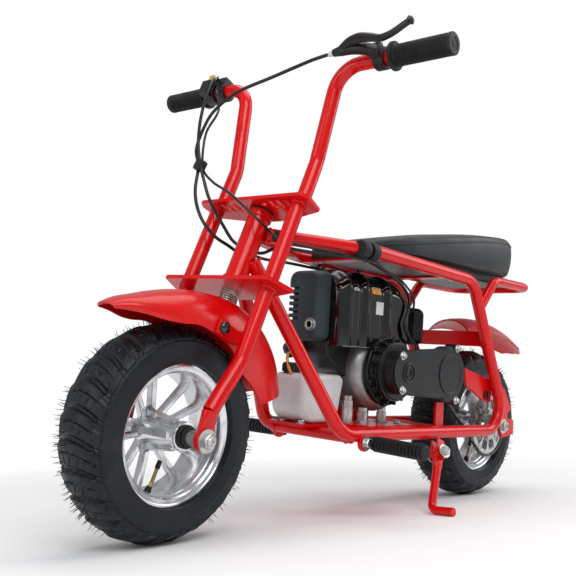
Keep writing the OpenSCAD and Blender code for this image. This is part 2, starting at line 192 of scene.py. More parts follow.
def red_plastic():
    plastic = Surface("red_plastic", (0.66, 0.0018, 0.0030), 0.28, Specular_IOR_Level=0.32, Coat_Weight=0.15,
                      Coat_Roughness=0.15)
    plastic.mix_in((0.58, 0.0012, 0.0022), plastic.ranged(plastic.noise(6), 0.35, 0.65))
    return plastic.vary_roughness(22, 0.22, 0.34).bump(plastic.noise(420, 2), 0.05, 0.2)


def tyre_rubber():
    rubber = Surface("tyre_rubber", (0.0042, 0.0066, 0.0090), 0.45, Specular_IOR_Level=0.3)
    rubber.mix_in((0.0100, 0.0150, 0.0200), rubber.ranged(rubber.noise(28), 0.42, 0.7))
    rubber.mix_in((0.0022, 0.0030, 0.0040), rubber.ranged(rubber.noise(7), 0.55, 0.75))
    rubber.vary_roughness(40, 0.32, 0.55)
    return rubber.bump(rubber.noise(900, 3), 0.25, 0.3).bump(rubber.noise(130, 3), 0.2, 0.6)


def polished_wheel():
    metal = Surface("polished_wheel", (0.74, 0.75, 0.77), 0.16, 1.0)
    metal.mix_in((0.42, 0.43, 0.45), metal.ranged(metal.noise(35, 5), 0.5, 0.78))
    metal.vary_roughness(60, 0.10, 0.30)
    return metal.bump(metal.noise(120, 5), 0.22, 0.5).bump(metal.noise(900, 2), 0.08, 0.1)


def zinc_steel():
    metal = Surface("zinc_steel", (0.56, 0.56, 0.55), 0.3, 1.0)
    metal.mix_in((0.30, 0.29, 0.27), metal.ranged(metal.noise(70), 0.5, 0.72))
    return metal.vary_roughness(90, 0.22, 0.42).bump(metal.noise(600, 2), 0.1, 0.1)


def chain_steel():
    metal = Surface("chain_steel", (0.10, 0.10, 0.105), 0.38, 1.0)
    metal.mix_in((0.26, 0.25, 0.24), metal.ranged(metal.noise(160), 0.5, 0.66))
    return metal.vary_roughness(150, 0.28, 0.5).bump(metal.noise(700, 2), 0.12, 0.1)


def cast_alloy():
    metal = Surface("cast_alloy", (0.36, 0.37, 0.38), 0.42, 0.85)
    metal.mix_in((0.24, 0.245, 0.25), metal.ranged(metal.noise(40), 0.4, 0.7))
    metal.vary_roughness(80, 0.36, 0.52)
    return metal.bump(metal.noise(1100, 3), 0.35, 0.25)


def black_plastic():
    plastic = Surface("black_plastic", (0.0045, 0.0050, 0.0060), 0.38, Specular_IOR_Level=0.4)
    plastic.mix_in((0.0090, 0.0105, 0.0125), plastic.ranged(plastic.noise(24), 0.4, 0.7))
    plastic.vary_roughness(50, 0.28, 0.44)
    return plastic.bump(plastic.cells(1500), 0.18, 0.15)


def gloss_black():
    plastic = Surface("gloss_black", (0.0018, 0.0020, 0.0025), 0.06, Coat_Weight=0.5, Coat_Roughness=0.03)
    plastic.vary_roughness(12, 0.05, 0.12)
    return plastic.bump(plastic.noise(30, 2), 0.04, 0.5)


def slate_plastic():
    plastic = Surface("slate_plastic", (0.020, 0.031, 0.038), 0.45, Specular_IOR_Level=0.4)
    plastic.mix_in((0.029, 0.042, 0.050), plastic.ranged(plastic.noise(18), 0.4, 0.7))
    return plastic.vary_roughness(45, 0.42, 0.58).bump(plastic.cells(1700), 0.2, 0.15)


def seat_vinyl():
    vinyl = Surface("seat_vinyl", (0.0060, 0.0090, 0.0115), 0.4, Specular_IOR_Level=0.4, Sheen_Weight=0.05)
    vinyl.mix_in((0.0105, 0.0150, 0.0180), vinyl.ranged(vinyl.noise(11), 0.4, 0.7))
    vinyl.vary_roughness(25, 0.36, 0.5)
    vinyl.bump(vinyl.noise(14, 3), 0.16, 2.0)
    return vinyl.bump(vinyl.cells(900, "DISTANCE_TO_EDGE"), 0.22, 0.2)


def soft_rubber():
    rubber = Surface("soft_rubber", (0.0050, 0.0056, 0.0066), 0.5, Specular_IOR_Level=0.35)
    rubber.mix_in((0.0105, 0.0118, 0.0135), rubber.ranged(rubber.noise(50), 0.45, 0.7))
    return rubber.vary_roughness(70, 0.46, 0.64).bump(rubber.noise(1300, 3), 0.3, 0.2)


def tank_plastic():
    plastic = Surface("tank_plastic", (0.66, 0.66, 0.66), 0.34, Subsurface_Weight=0.5,
                      Subsurface_Radius=(0.012, 0.012, 0.012), Coat_Weight=0.1)
    plastic.mix_in((0.56, 0.56, 0.57), plastic.ranged(plastic.noise(9), 0.35, 0.65))
    return plastic.vary_roughness(30, 0.3, 0.42).bump(plastic.noise(180, 2), 0.1, 0.3)


def brass():
    metal = Surface("brass", (0.46, 0.30, 0.09), 0.3, 1.0)
    metal.mix_in((0.26, 0.17, 0.06), metal.ranged(metal.noise(120), 0.45, 0.7))
    return metal.vary_roughness(120, 0.24, 0.42)


def cable_sleeve():
    sleeve = Surface("cable_sleeve", (0.0038, 0.0042, 0.0050), 0.32, Specular_IOR_Level=0.4)
    sleeve.mix_in((0.0085, 0.0095, 0.0110), sleeve.ranged(sleeve.noise(60), 0.45, 0.7))
    return sleeve.vary_roughness(40, 0.26, 0.4).bump(sleeve.noise(700, 2), 0.1, 0.1)


def yellow_plastic():
    plastic = Surface("yellow_plastic", (0.62, 0.30, 0.03), 0.4)
    return plastic.mix_in((0.5, 0.22, 0.02), plastic.ranged(plastic.noise(60), 0.4, 0.6))


def paper(name, colour, faded):
    label = Surface(name, colour, 0.45)
    label.mix_in(faded, label.ranged(label.noise(90), 0.4, 0.75))
    return label.bump(label.noise(300, 2), 0.1, 0.1)


surfaces = {made.name: made.material for made in (
    red_paint(), red_plastic(), tyre_rubber(), polished_wheel(), zinc_steel(), chain_steel(), cast_alloy(),
    black_plastic(), gloss_black(), slate_plastic(), seat_vinyl(), soft_rubber(), tank_plastic(), brass(), cable_sleeve(),
    yellow_plastic(), paper("orange_label", (0.78, 0.36, 0.03), (0.66, 0.30, 0.05)),
    paper("white_label", (0.62, 0.64, 0.64), (0.50, 0.52, 0.53)))}


# Shapes

class Shape:
    """Points and faces in millimetres, gathered before they become one piece."""

    def __init__(self):
        self.points, self.faces = [], []

    def add(self, points, faces, matrix=None):
        start = len(self.points)
        self.points += [tuple(matrix @ Vector(p)) for p in points] if matrix else [tuple(p) for p in points]
        self.faces += [[start + i for i in face] for face in faces]
        return self

    def lathe(self, profile, matrix=None, steps=64, loop=False):
        """Turns a line of (radius, height) about Z. A loop closes on itself."""
        n = len(profile)
        points = [(r * math.cos(a), r * math.sin(a), z)
                  for a in (2 * math.pi * k / steps for k in range(steps)) for r, z in profile]
        faces = [[i * n + j, (i + 1) % steps * n + j, (i + 1) % steps * n + (j + 1) % n, i * n + (j + 1) % n]
                 for i in range(steps) for j in range(n if loop else n - 1)]
        return self.add(points, faces, matrix)

    def prism(self, outline, z0, z1, matrix=None):
        """Stands an outline of (x, y) up from z0 to z1."""
        n = len(outline)
        points = [(x, y, z) for z in (z0, z1) for x, y in outline]
        sides = [[i, (i + 1) % n, n + (i + 1) % n, n + i] for i in range(n)]
        return self.add(points, [list(range(n))[::-1], list(range(n, 2 * n))] + sides, matrix)

    def block(self, low, high, matrix=None):
        corners = [(low[0], low[1]), (high[0], low[1]), (high[0], high[1]), (low[0], high[1])]
        return self.prism(corners, low[2], high[2], matrix)

    def sweep(self, path, radius, sides=12, samples=6, matrix=None):
        """A round cord or tube along a smooth curve through the path's points."""
        line = smooth_line(path, samples)
        radii = np.interp(np.linspace(0, 1, len(line)), np.linspace(0, 1, len(np.atleast_1d(radius))),
                          np.atleast_1d(radius)) if np.ndim(radius) else np.full(len(line), float(radius))
        rings = ring_frames(line)
        points, faces = [], []
        for centre, (side, over), r in zip(line, rings, radii):
            points += [tuple(centre + r * (side * math.cos(a) + over * math.sin(a)))
                       for a in (2 * math.pi * k / sides for k in range(sides))]
        for i in range(len(line) - 1):
            faces += [[i * sides + k, i * sides + (k + 1) % sides,
                       (i + 1) * sides + (k + 1) % sides, (i + 1) * sides + k] for k in range(sides)]
        faces += [list(range(sides))[::-1], [len(points) - sides + k for k in range(sides)]]
        return self.add(points, faces, matrix)


def smooth_line(path, samples):
    """Points on a Catmull-Rom curve through the path."""
    knots = np.array(path, float)
    if len(knots) == 2 or samples <= 1:
        return knots
    ends = np.vstack([2 * knots[0] - knots[1], knots, 2 * knots[-1] - knots[-2]])
    line = []
    for a, b, c, d in zip(ends, ends[1:], ends[2:], ends[3:]):
        for t in np.arange(samples) / samples:
            line.append(0.5 * (2 * b + (c - a) * t + (2 * a - 5 * b + 4 * c - d) * t ** 2
                               + (3 * b - a - 3 * c + d) * t ** 3))
    return np.array(line + [knots[-1]])


def ring_frames(line):
    """Two directions across the line at each of its points, carried along without twisting."""
    along = np.gradient(line, axis=0)
    along /= np.linalg.norm(along, axis=1)[:, None]
    side = np.cross(along[0], (0, 0, 1) if abs(along[0][2]) < 0.9 else (1, 0, 0))
    frames = []
    for direction in along:
        side = side - direction * (side @ direction)
        side /= np.linalg.norm(side)
        frames.append((side, np.cross(direction, side)))
    return frames


def shift(x, y, z):
    return Matrix.Translation((x, y, z))


def spin(degrees, axis="Z"):
    return Matrix.Rotation(math.radians(degrees), 4, axis)


def arc(centre, radius, start, end, steps):
    """Points on a circle from one angle to another, in degrees."""
    return [(centre[0] + radius * math.cos(a), centre[1] + radius * math.sin(a))
            for a in (math.radians(start + (end - start) * k / steps) for k in range(steps + 1))]


def rounded(path, bend, steps=8):
    """Straight runs through the path's points, with each corner rounded to one radius."""
    points = [Vector(p) for p in path]
    line = [points[0]]
    for before, corner, after in zip(points, points[1:], points[2:]):
        into, out_of = (corner - before).normalized(), (after - corner).normalized()
        turn = into.angle(out_of)
        outward = into.cross(into.cross(out_of).normalized())
        start = corner - into * bend * math.tan(turn / 2)
        line += [start - outward * bend + bend * (outward * math.cos(a) + into * math.sin(a))
                 for a in (turn * k / steps for k in range(steps + 1))]
    return line + [points[-1]]


def rounded_box(low, high, corner, steps=6):
    """The outline of a rectangle with round corners."""
    return [point for x, y, start in ((high[0] - corner, high[1] - corner, 0), (low[0] + corner, high[1] - corner, 90),
                                      (low[0] + corner, low[1] + corner, 180), (high[0] - corner, low[1] + corner, 270))
            for point in arc((x, y), corner, start, start + 90, steps)]


def cut_out(made, shape, matrix, smooth_angle):
    """Cuts a shape out of a piece for good."""
    mesh = bpy.data.meshes.new("cutter")
    mesh.from_pydata([tuple(matrix @ Vector(p)) for p in shape.points], [], shape.faces)
    finish_mesh(mesh, smooth_angle)
    cutter = bpy.data.objects.new("cutter", mesh)
    bpy.context.scene.collection.objects.link(cutter)
    hole = made.modifiers.new("hole", "BOOLEAN")
    hole.operation, hole.solver, hole.object = "DIFFERENCE", "EXACT", cutter
    result = bpy.data.meshes.new_from_object(made.evaluated_get(bpy.context.evaluated_depsgraph_get()))
    made.modifiers.remove(hole)
    made.data = result
    result.shade_smooth()
    result.set_sharp_from_angle(angle=math.radians(smooth_angle))
    bpy.data.objects.remove(cutter)


def finish_mesh(mesh, smooth_angle):
    work = bmesh.new()
    work.from_mesh(mesh)
    bmesh.ops.remove_doubles(work, verts=work.verts, dist=1e-6)
    bmesh.ops.recalc_face_normals(work, faces=work.faces)
    work.to_mesh(mesh)
    work.free()
    mesh.shade_smooth()
    mesh.set_sharp_from_angle(angle=math.radians(smooth_angle))


def piece(name, shape, matrix, surface, body, bevel=0.0, smooth_angle=38, replaces=(), holes=None):
    """Makes a shape into one piece of the model, which rides on a body."""
    mesh = bpy.data.meshes.new(name)
    mesh.from_pydata([tuple(matrix @ Vector(p)) for p in shape.points], [], shape.faces)
    finish_mesh(mesh, smooth_angle)
    made = bpy.data.objects.new(name, mesh)
    bpy.context.scene.collection.objects.link(made)
    mesh.materials.append(surfaces[surface])
    if holes:
        cut_out(made, holes, matrix, smooth_angle)
    if bevel:
        rounding = made.modifiers.new("edges", "BEVEL")
        rounding.width = bevel * MM
        rounding.segments = 2
        rounding.limit_method = "ANGLE"
        rounding.angle_limit = math.radians(smooth_angle)
        rounding.harden_normals = True
    if body:
        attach(made, body)
    if replaces:
        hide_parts(*replaces)
    return made


# Bolts, drawn standing on z = 0

def hex_bolt(shape, matrix, across=10, tall=5, washer=True):
    r = across / 2 / math.cos(math.pi / 6)
    base = 0.0
    if washer:
        shape.lathe([(0, 0), (across * 0.85, 0), (across * 0.85, 1.2), (0, 1.2)], matrix, 28)
        base = 1.2
    head_line = [(0, base), (r, base), (r, base + tall * 0.8), (r * 0.86, base + tall), (0, base + tall)]
    shape.lathe(head_line, matrix, 6)


def lock_nut(shape, matrix, across=15, tall=9):
    hex_bolt(shape, matrix, across, tall * 0.75)
    r = across * 0.36
    shape.lathe([(r, 1.2 + tall * 0.7), (r, tall), (r * 0.8, tall + 1.2), (r * 0.62, tall + 1.2),
                 (r * 0.62, tall - 1), (0, tall - 1)], matrix, 28)


def socket_screw(shape, matrix, r=5, tall=5):
    shape.lathe([(0, 0), (r, 0), (r, tall * 0.8), (r * 0.86, tall), (r * 0.55, tall), (r * 0.5, tall * 0.4),
                 (0, tall * 0.4)], matrix, 24)


# Wheels and tyres

TREAD_DEPTH = 6.5
TREAD_BARS = 24
CROWN_R, CROWN_END = 62, 43
WALL_ARC, WALL_R, HALF_W = 53, TYRE_R - 33, 45
WALL_TOP, WALL_END = 17.9, -20.5
BOW = 0.5 * math.radians(1)


def tyre_outline(across):
    """The tyre's section as (radius, height), by the distance round it from the middle of the tread."""
    side, w = math.copysign(1, across), abs(across)
    crown = CROWN_R * math.radians(CROWN_END)
    if w < crown:
        turn = w / CROWN_R
        return TYRE_R - CROWN_R + CROWN_R * math.cos(turn), side * CROWN_R * math.sin(turn)
    turn = math.radians(WALL_TOP) - (w - crown) / WALL_ARC
    return WALL_R + WALL_ARC * math.sin(turn), side * (HALF_W - WALL_ARC + WALL_ARC * math.cos(turn))


TREAD_EDGE = CROWN_R * math.radians(CROWN_END)
SECTION_END = TREAD_EDGE + WALL_ARC * math.radians(WALL_TOP - WALL_END)


def tread_height(along, across, z):
    """How far the tread stands up, from 0 in a groove to 1 on a bar, with lengths in millimetres."""
    pitch = 2 * math.pi * TYRE_R / TREAD_BARS
    share = ((along - BOW * z ** 2) / pitch + 0.5) % 1
    side = np.abs(across)
    ramp = lambda value, width: np.clip(value / width + 0.5, 0, 1)
    bar = ramp(share - 0.10, 0.07) * ramp(0.90 - share, 0.10)
    slope = 1 - 0.28 * np.clip((share - 0.15) / 0.7, 0, 1)
    line = 1 - 0.42 * ramp(0.022 - np.abs(share - 0.47), 0.02) * ramp(38 - side, 3)
    notch = ((across + 300) % 13) - 6.5
    sipe = 1 - 0.4 * ramp(0.9 - np.abs(notch + (share - 0.68) * 14 * np.sign(across)), 0.8) * (
        ramp(0.13 - np.abs(share - 0.68), 0.03) * ramp(30 - side, 3))
    step = 1 - 0.35 * ramp(0.33 - share, 0.04) * ramp(side - 36, 3)
    height = bar * slope * line * sipe * step
    knob = 0.8 * ramp(0.10 - np.abs(((share + 0.5) % 1) - 0.5), 0.05) * ramp(side - 39, 3)
    return np.maximum(height, knob) * ramp(TREAD_EDGE + 3.5 - side, 4)


def tyre(name, matrix, body, node, seed):
    around, sides = TREAD_BARS * 24, 101
    across = np.linspace(-SECTION_END, SECTION_END, sides)
    line = np.array([tyre_outline(w) for w in across])
    tangent = np.gradient(line, axis=0)
    normal = np.stack([tangent[:, 1], -tangent[:, 0]], axis=1)
    normal /= np.linalg.norm(normal, axis=1)[:, None]
    angle = np.arange(around) * 2 * math.pi / around
    stand = tread_height(angle[:, None] * TYRE_R, across[None, :], line[None, :, 1])
    zone = np.clip((TREAD_EDGE + 6 - np.abs(across)) / 4, 0, 1)
    bead_line = 0.9 * np.exp(-((np.abs(across) - TREAD_EDGE - 20) / 1.2) ** 2)
    sink = TREAD_DEPTH * (1 - stand) * zone[None, :] - bead_line[None, :]
    section = line[None, :, :] - normal[None, :, :] * sink[:, :, None]
    points = np.stack([section[:, :, 0] * np.cos(angle)[:, None], section[:, :, 0] * np.sin(angle)[:, None],
                       section[:, :, 1]], axis=2).reshape(-1, 3)
    shape = Shape()
    shape.points = [tuple(p) for p in points]
    for i in range(around):
        a, b = i * sides, (i + 1) % around * sides
        shape.faces += [[a + j, b + j, b + j + 1, a + j + 1] for j in range(sides - 1)]
    start = len(shape.points)
    bead_r, bead_z = RIM_R + 0.3, RIM_EDGE - 4.2
    for k in range(around):
        for z in (-bead_z, bead_z):
            shape.points.append((bead_r * math.cos(angle[k]), bead_r * math.sin(angle[k]), z))
    for i in range(around):
        a, b = i * sides, (i + 1) % around * sides
        c, d = start + 2 * i, start + 2 * ((i + 1) % around)
        shape.faces += [[c, d, b, a], [c + 1, a + sides - 1, b + sides - 1, d + 1], [c, c + 1, d + 1, d]]
    piece(name, shape, matrix, "tyre_rubber", body, smooth_angle=50, replaces=[node])
    vent_hairs(name + "_hairs", matrix, body, seed)


def vent_hairs(name, matrix, body, seed, count=460):
    """The thin rubber hairs that the mould leaves on a new tyre."""
    rng = random.Random(seed)
    shape = Shape()
    floor_gap = 14
    for _ in range(count):
        across = rng.uniform(-TREAD_EDGE - 4, TREAD_EDGE + 4)
        around = rng.uniform(0, 2 * math.pi)
        r, z = tyre_outline(across)
        out = Vector((math.cos(around), math.sin(around), 0.0))
        base = out * (r - 2.5) + Vector((0, 0, z * 0.96))
        lean = Vector([rng.uniform(-0.3, 0.3) for _ in range(3)])
        way = (out + Vector((0, 0, 0.9 * z / HALF_W)) + lean).normalized()
        tip = base + way * rng.uniform(8, 12)
        if (matrix @ tip).z < floor_gap * MM:
            continue
        bend = Vector([rng.uniform(-1.2, 1.2) for _ in range(3)])
        shape.sweep([base, (base + tip) / 2 + bend, tip], [0.55, 0.45, 0.25], sides=3, samples=1)
    piece(name, shape, matrix, "tyre_rubber", body, smooth_angle=80)


RIM_EDGE, RIM_R, BEAD_R = 34, 93, 84
BARREL_R = BEAD_R - 5
SPOKE_LOW, SPOKE_HIGH = -33, -20
HUB_R, BORE_R, AXLE_R = 21, 6.1, 6


def wheel(name, matrix, body, node, hub_low, hub_high):
    shape = Shape()
    shape.lathe([
        (BARREL_R, -RIM_EDGE + 0.6), (BARREL_R + 0.6, -RIM_EDGE), (RIM_R - 0.5, -RIM_EDGE),
        (RIM_R, -RIM_EDGE + 0.5), (RIM_R, -RIM_EDGE + 4), (BEAD_R, -RIM_EDGE + 4), (BEAD_R, RIM_EDGE - 4),
        (RIM_R, RIM_EDGE - 4), (RIM_R, RIM_EDGE - 0.5), (RIM_R - 0.5, RIM_EDGE), (RIM_R - 3.4, RIM_EDGE),
        (RIM_R - 4, RIM_EDGE - 0.3), (RIM_R - 5, RIM_EDGE - 1.4), (BEAD_R + 0.6, RIM_EDGE - 2.5),
        (BEAD_R - 0.8, RIM_EDGE - 3), (BEAD_R - 2.6, RIM_EDGE - 5), (BEAD_R - 3.1, RIM_EDGE - 7),
        (BEAD_R - 3.6, RIM_EDGE - 11.6), (BEAD_R - 4.4, RIM_EDGE - 12.4), (BARREL_R + 0.2, RIM_EDGE - 19.6),
        (BARREL_R, RIM_EDGE - 20.4), (BARREL_R, 0), (BARREL_R - 0.3, -8)], steps=144, loop=True)
    piece(name + "_barrel", shape, matrix, "polished_wheel", body, smooth_angle=22, replaces=[node])

    spokes = Shape()
    for i in range(5):
        for side in (1, -1):
            arm = [(14, 1.5), (48, 8.5), (BARREL_R + 1, 14), (BARREL_R + 1, 24), (52, 17.5), (30, 13), (14, 11)]
            spokes.prism([(x, side * y) for x, y in arm][::side], SPOKE_LOW, SPOKE_HIGH, spin(72 * i + 18))
    piece(name + "_spokes", spokes, matrix, "polished_wheel", body, bevel=2.4, smooth_angle=30)

    hub = Shape()
    hub.lathe([(BORE_R, hub_low), (HUB_R - 5, hub_low), (HUB_R - 4, hub_low + 1), (HUB_R, SPOKE_LOW),
               (HUB_R + 1, SPOKE_HIGH), (HUB_R - 3, SPOKE_HIGH + 12), (HUB_R - 3, hub_high - 12),
               (HUB_R - 1.5, hub_high - 9), (HUB_R - 1.5, hub_high - 1), (HUB_R - 2.5, hub_high),
               (BORE_R, hub_high)], steps=72, loop=True)
    for i in range(5):
        fin = [(14, SPOKE_HIGH - 2), (33, SPOKE_HIGH - 2), (27, SPOKE_HIGH + 9), (20.5, hub_high - 14),
               (17, hub_high - 13), (14, hub_high - 13)]
        hub.prism(fin, -4.5, 4.5, spin(72 * i + 18) @ spin(90, "X"))
    piece(name + "_hub", hub, matrix, "polished_wheel", body, bevel=1.0, smooth_angle=28)
    valve(name, matrix, body)


def valve(name, matrix, body):
    foot = Vector((-12, BARREL_R - 2, 4))
    knee, tip = foot + Vector((1, -13, 3)), foot + Vector((8, -31, 11))
    stem = Shape().sweep([foot, knee, tip], 2.6, sides=14)
    piece(name + "_valve", stem, matrix, "brass", body, smooth_angle=60)
    rubber = Shape().sweep([foot + Vector((0, 1, 0)), foot + Vector((0.4, -7, 1.6))], [5.2, 3.4], sides=18)
    rubber.sweep([tip, tip + Vector((3.4, -8.5, 3.6))], [3.6, 3.1], sides=18)
    piece(name + "_valve_cap", rubber, matrix, "soft_rubber", body, smooth_angle=40)


def axle_nut(shape, side, place, across):
    face = shift(0, 0, side * place) @ spin(0 if side > 0 else 180, "X")
    shape.lathe([(0, 0), (across * 0.72, 0), (across * 0.72, 1.6), (across * 0.6, 2.2), (0, 2.2)], face, 40)
    lock_nut(shape, face @ shift(0, 0, 1.2), across, 9)


def axles():
    steel = Shape().lathe([(0, -88), (AXLE_R, -88), (AXLE_R, 88), (0, 88)], steps=32)
    for low, high in ((-77.3, -40.4), (58.2, 77.3)):
        steel.lathe([(AXLE_R, low), (10, low), (10, high), (AXLE_R, high)], steps=40, loop=True)
    for side in (1, -1):
        axle_nut(steel, side, 87.6, 18)
    piece("front_axle_set", steel, FRONT, "zinc_steel", "steering", smooth_angle=28, replaces=["front_axle"])
    seals = Shape()
    for z, r in ((49.4, 15.5), (53.6, 13.6)):
        seals.lathe([(8, z), (r - 1, z), (r, z + 0.8), (r, z + 3.2), (r - 1, z + 4), (8, z + 4)], steps=48, loop=True)
    piece("front_hub_seals", seals, FRONT, "soft_rubber", "steering", smooth_angle=28)
    steel = Shape().lathe([(0, -93), (AXLE_R, -93), (AXLE_R, 93), (0, 93)], steps=32)
    for low, high in ((-83.2, -59.2), (60.2, 83.2)):
        steel.lathe([(AXLE_R, low), (10, low), (10, high), (AXLE_R, high)], steps=40, loop=True)
    for side in (1, -1):
        axle_nut(steel, side, 88.6, 17)
    piece("rear_axle_set", steel, REAR, "zinc_steel", "frame", smooth_angle=28, replaces=["rear_axle"])


# Chain

PITCH, REAR_TEETH, DRIVE_TEETH, CHAIN_Y = 6.35, 60, 15, 57
DRIVE_AT = Vector((197, -96))


def chain_pins():
    """The centres of the chain's pins, each wheel's own at its pitch and the runs shared out between them."""
    rear_r, drive_r = (PITCH / 2 / math.sin(math.pi / teeth) for teeth in (REAR_TEETH, DRIVE_TEETH))
    lean, way = math.asin((rear_r - drive_r) / DRIVE_AT.length), math.atan2(DRIVE_AT.y, DRIVE_AT.x)
    wraps = []
    for centre, r, teeth, middle, half_turn in ((Vector((0, 0)), rear_r, REAR_TEETH, way + math.pi, math.pi / 2 + lean),
                                                (DRIVE_AT, drive_r, DRIVE_TEETH, way, math.pi / 2 - lean)):
        step = 2 * math.pi / teeth
        most = int(half_turn / step)
        wraps.append([centre + r * Vector((math.cos(middle + k * step), math.sin(middle + k * step)))
                      for k in range(-most, most + 1)])
    rear, drive = wraps
    runs = [(rear[-1], drive[0]), (drive[-1], rear[0])]
    links = [round((b - a).length / PITCH) for a, b in runs]
    links[1] += (len(rear) + len(drive) + sum(links)) % 2
    between = [[a.lerp(b, k / n) for k in range(1, n)] for (a, b), n in zip(runs, links)]
    return rear + between[0] + drive + between[1]


def toothed(shape, teeth, middle, root, tip, z0, z1, bore, matrix=None):
    """A flat toothed ring, with a gap between two teeth at the angle middle."""
    outline = []
    for k in range(teeth):
        a = middle + 2 * math.pi * k / teeth
        for share, r in ((-0.14, root), (0.14, root), (0.36, tip), (0.64, tip)):
            b = a + share * 2 * math.pi / teeth
            outline.append((r * math.cos(b), r * math.sin(b)))
    n = len(outline)
    points = [(x, y, z) for z in (z0, z1) for x, y in outline]
    inner = [(bore * x / math.hypot(x, y), bore * y / math.hypot(x, y)) for x, y in outline]
    points += [(x, y, z) for z in (z0, z1) for x, y in inner]
    faces = []
    for i in range(n):
        j = (i + 1) % n
        faces += [[i, j, n + j, n + i], [2 * n + j, 2 * n + i, 3 * n + i, 3 * n + j],
                  [j, i, 2 * n + i, 2 * n + j], [n + i, n + j, 3 * n + j, 3 * n + i]]
    return shape.add(points, faces, matrix)


def sprockets():
    way = math.atan2(DRIVE_AT.y, DRIVE_AT.x)
    big = toothed(Shape(), REAR_TEETH, way + math.pi, 58.4, 62.4, CHAIN_Y - 0.9, CHAIN_Y + 0.9, 50)
    big.lathe([(20, CHAIN_Y - 2), (31, CHAIN_Y - 2), (32, CHAIN_Y - 1.4), (32, CHAIN_Y + 1.4), (31, CHAIN_Y + 2),
               (20, CHAIN_Y + 2)], steps=72, loop=True)
    for k in range(10):
        web = [(31, -3.4), (40, -2.4), (51, -7), (51, 7), (40, 2.4), (31, 3.4)]
        big.prism(web, CHAIN_Y - 1.5, CHAIN_Y + 1.5, spin(36 * k + 18))
    for k in range(5):
        hex_bolt(big, spin(72 * k) @ shift(26, 0, CHAIN_Y + 2), 8, 4)
    piece("rear_sprocket_ring", big, REAR, "zinc_steel", "rear_wheel", smooth_angle=28, replaces=["rear_sprocket"])
    hub = Shape().lathe([(BORE_R, RIM_EDGE - 4), (20, RIM_EDGE - 4), (20, CHAIN_Y - 6), (24, CHAIN_Y - 3), (24, CHAIN_Y),
                         (BORE_R, CHAIN_Y)], steps=72, loop=True)
    piece("rear_sprocket_carrier", hub, REAR, "cast_alloy", "rear_wheel", smooth_angle=28)
    at = shift(DRIVE_AT.x, DRIVE_AT.y, 0)
    small = toothed(Shape(), DRIVE_TEETH, way, 13.2, 17.2, CHAIN_Y - 0.9, CHAIN_Y + 0.9, 8, at)
    small.lathe([(0, CHAIN_Y - 16), (8, CHAIN_Y - 16), (8, CHAIN_Y - 2), (11, CHAIN_Y - 2), (11, CHAIN_Y + 2),
                 (8, CHAIN_Y + 2), (8, CHAIN_Y + 9), (0, CHAIN_Y + 9)], at, 36)
    piece("drive_sprocket_ring", small, REAR, "zinc_steel", "frame", smooth_angle=28, replaces=["drive_sprocket"])


def chain():
    pins = chain_pins()
    plates, rollers = Shape(), Shape()
    half = PITCH / 2
    waist = [(-half, 2.6), (-half - 1.9, 1.9), (-half - 2.7, 0), (-half - 1.9, -1.9), (-half, -2.6), (-1, -1.7),
             (1, -1.7), (half, -2.6), (half + 1.9, -1.9), (half + 2.7, 0), (half + 1.9, 1.9), (half, 2.6),
             (1, 1.7), (-1, 1.7)]
    for i, (a, b) in enumerate(zip(pins, pins[1:] + pins[:1])):
        way, middle = b - a, (a + b) / 2
        turn = shift(middle.x, middle.y, CHAIN_Y) @ spin(math.degrees(math.atan2(way.y, way.x)))
        z = 2.75 if i % 2 else 1.85
        for side in (1, -1):
            low, high = sorted((side * z, side * (z - 0.75)))
            plates.prism(waist, low, high, turn)
        at = shift(a.x, a.y, CHAIN_Y)
        rollers.lathe([(0, -3.1), (0.9, -3.1), (0.9, -1.2), (1.65, -1.2), (1.65, 1.2), (0.9, 1.2), (0.9, 3.1),
                       (0, 3.1)], at, 10)
    piece("chain_plates", plates, REAR, "chain_steel", "frame", smooth_angle=20, replaces=["drive_chain"])
    piece("chain_rollers", rollers, REAR, "chain_steel", "frame", smooth_angle=40)


# Seat

SEAT_TAIL, SEAT_NOSE = -58, 404
SEAT_BASE = 441.8
SEAM_DROP = 15


def seat_width(x):
    return float(np.interp(x, [SEAT_TAIL, 60, 180, 300, SEAT_NOSE], [88, 92, 86, 74, 58]))


def seat_top(x):
    return float(np.interp(x, [SEAT_TAIL, 0, 100, 223, 330, SEAT_NOSE], [519, 521, 511, 491, 473, 461]))


def seat_point(share, turn, drop, crown):
    """A point of the seat: share is how far out it lies from the middle, turn how far round."""
    c, s = math.cos(turn), math.sin(turn)
    length, middle = (SEAT_NOSE - SEAT_TAIL) / 2, (SEAT_NOSE + SEAT_TAIL) / 2
    power = 2 / 5
    x = middle + share * length * math.copysign(abs(c) ** power, c)
    y = share * seat_width(x) * math.copysign(abs(s) ** power, s)
    top = max(seat_top(x) - drop, SEAT_BASE + 1)
    return x, y, top + crown * (1 - share ** 2)


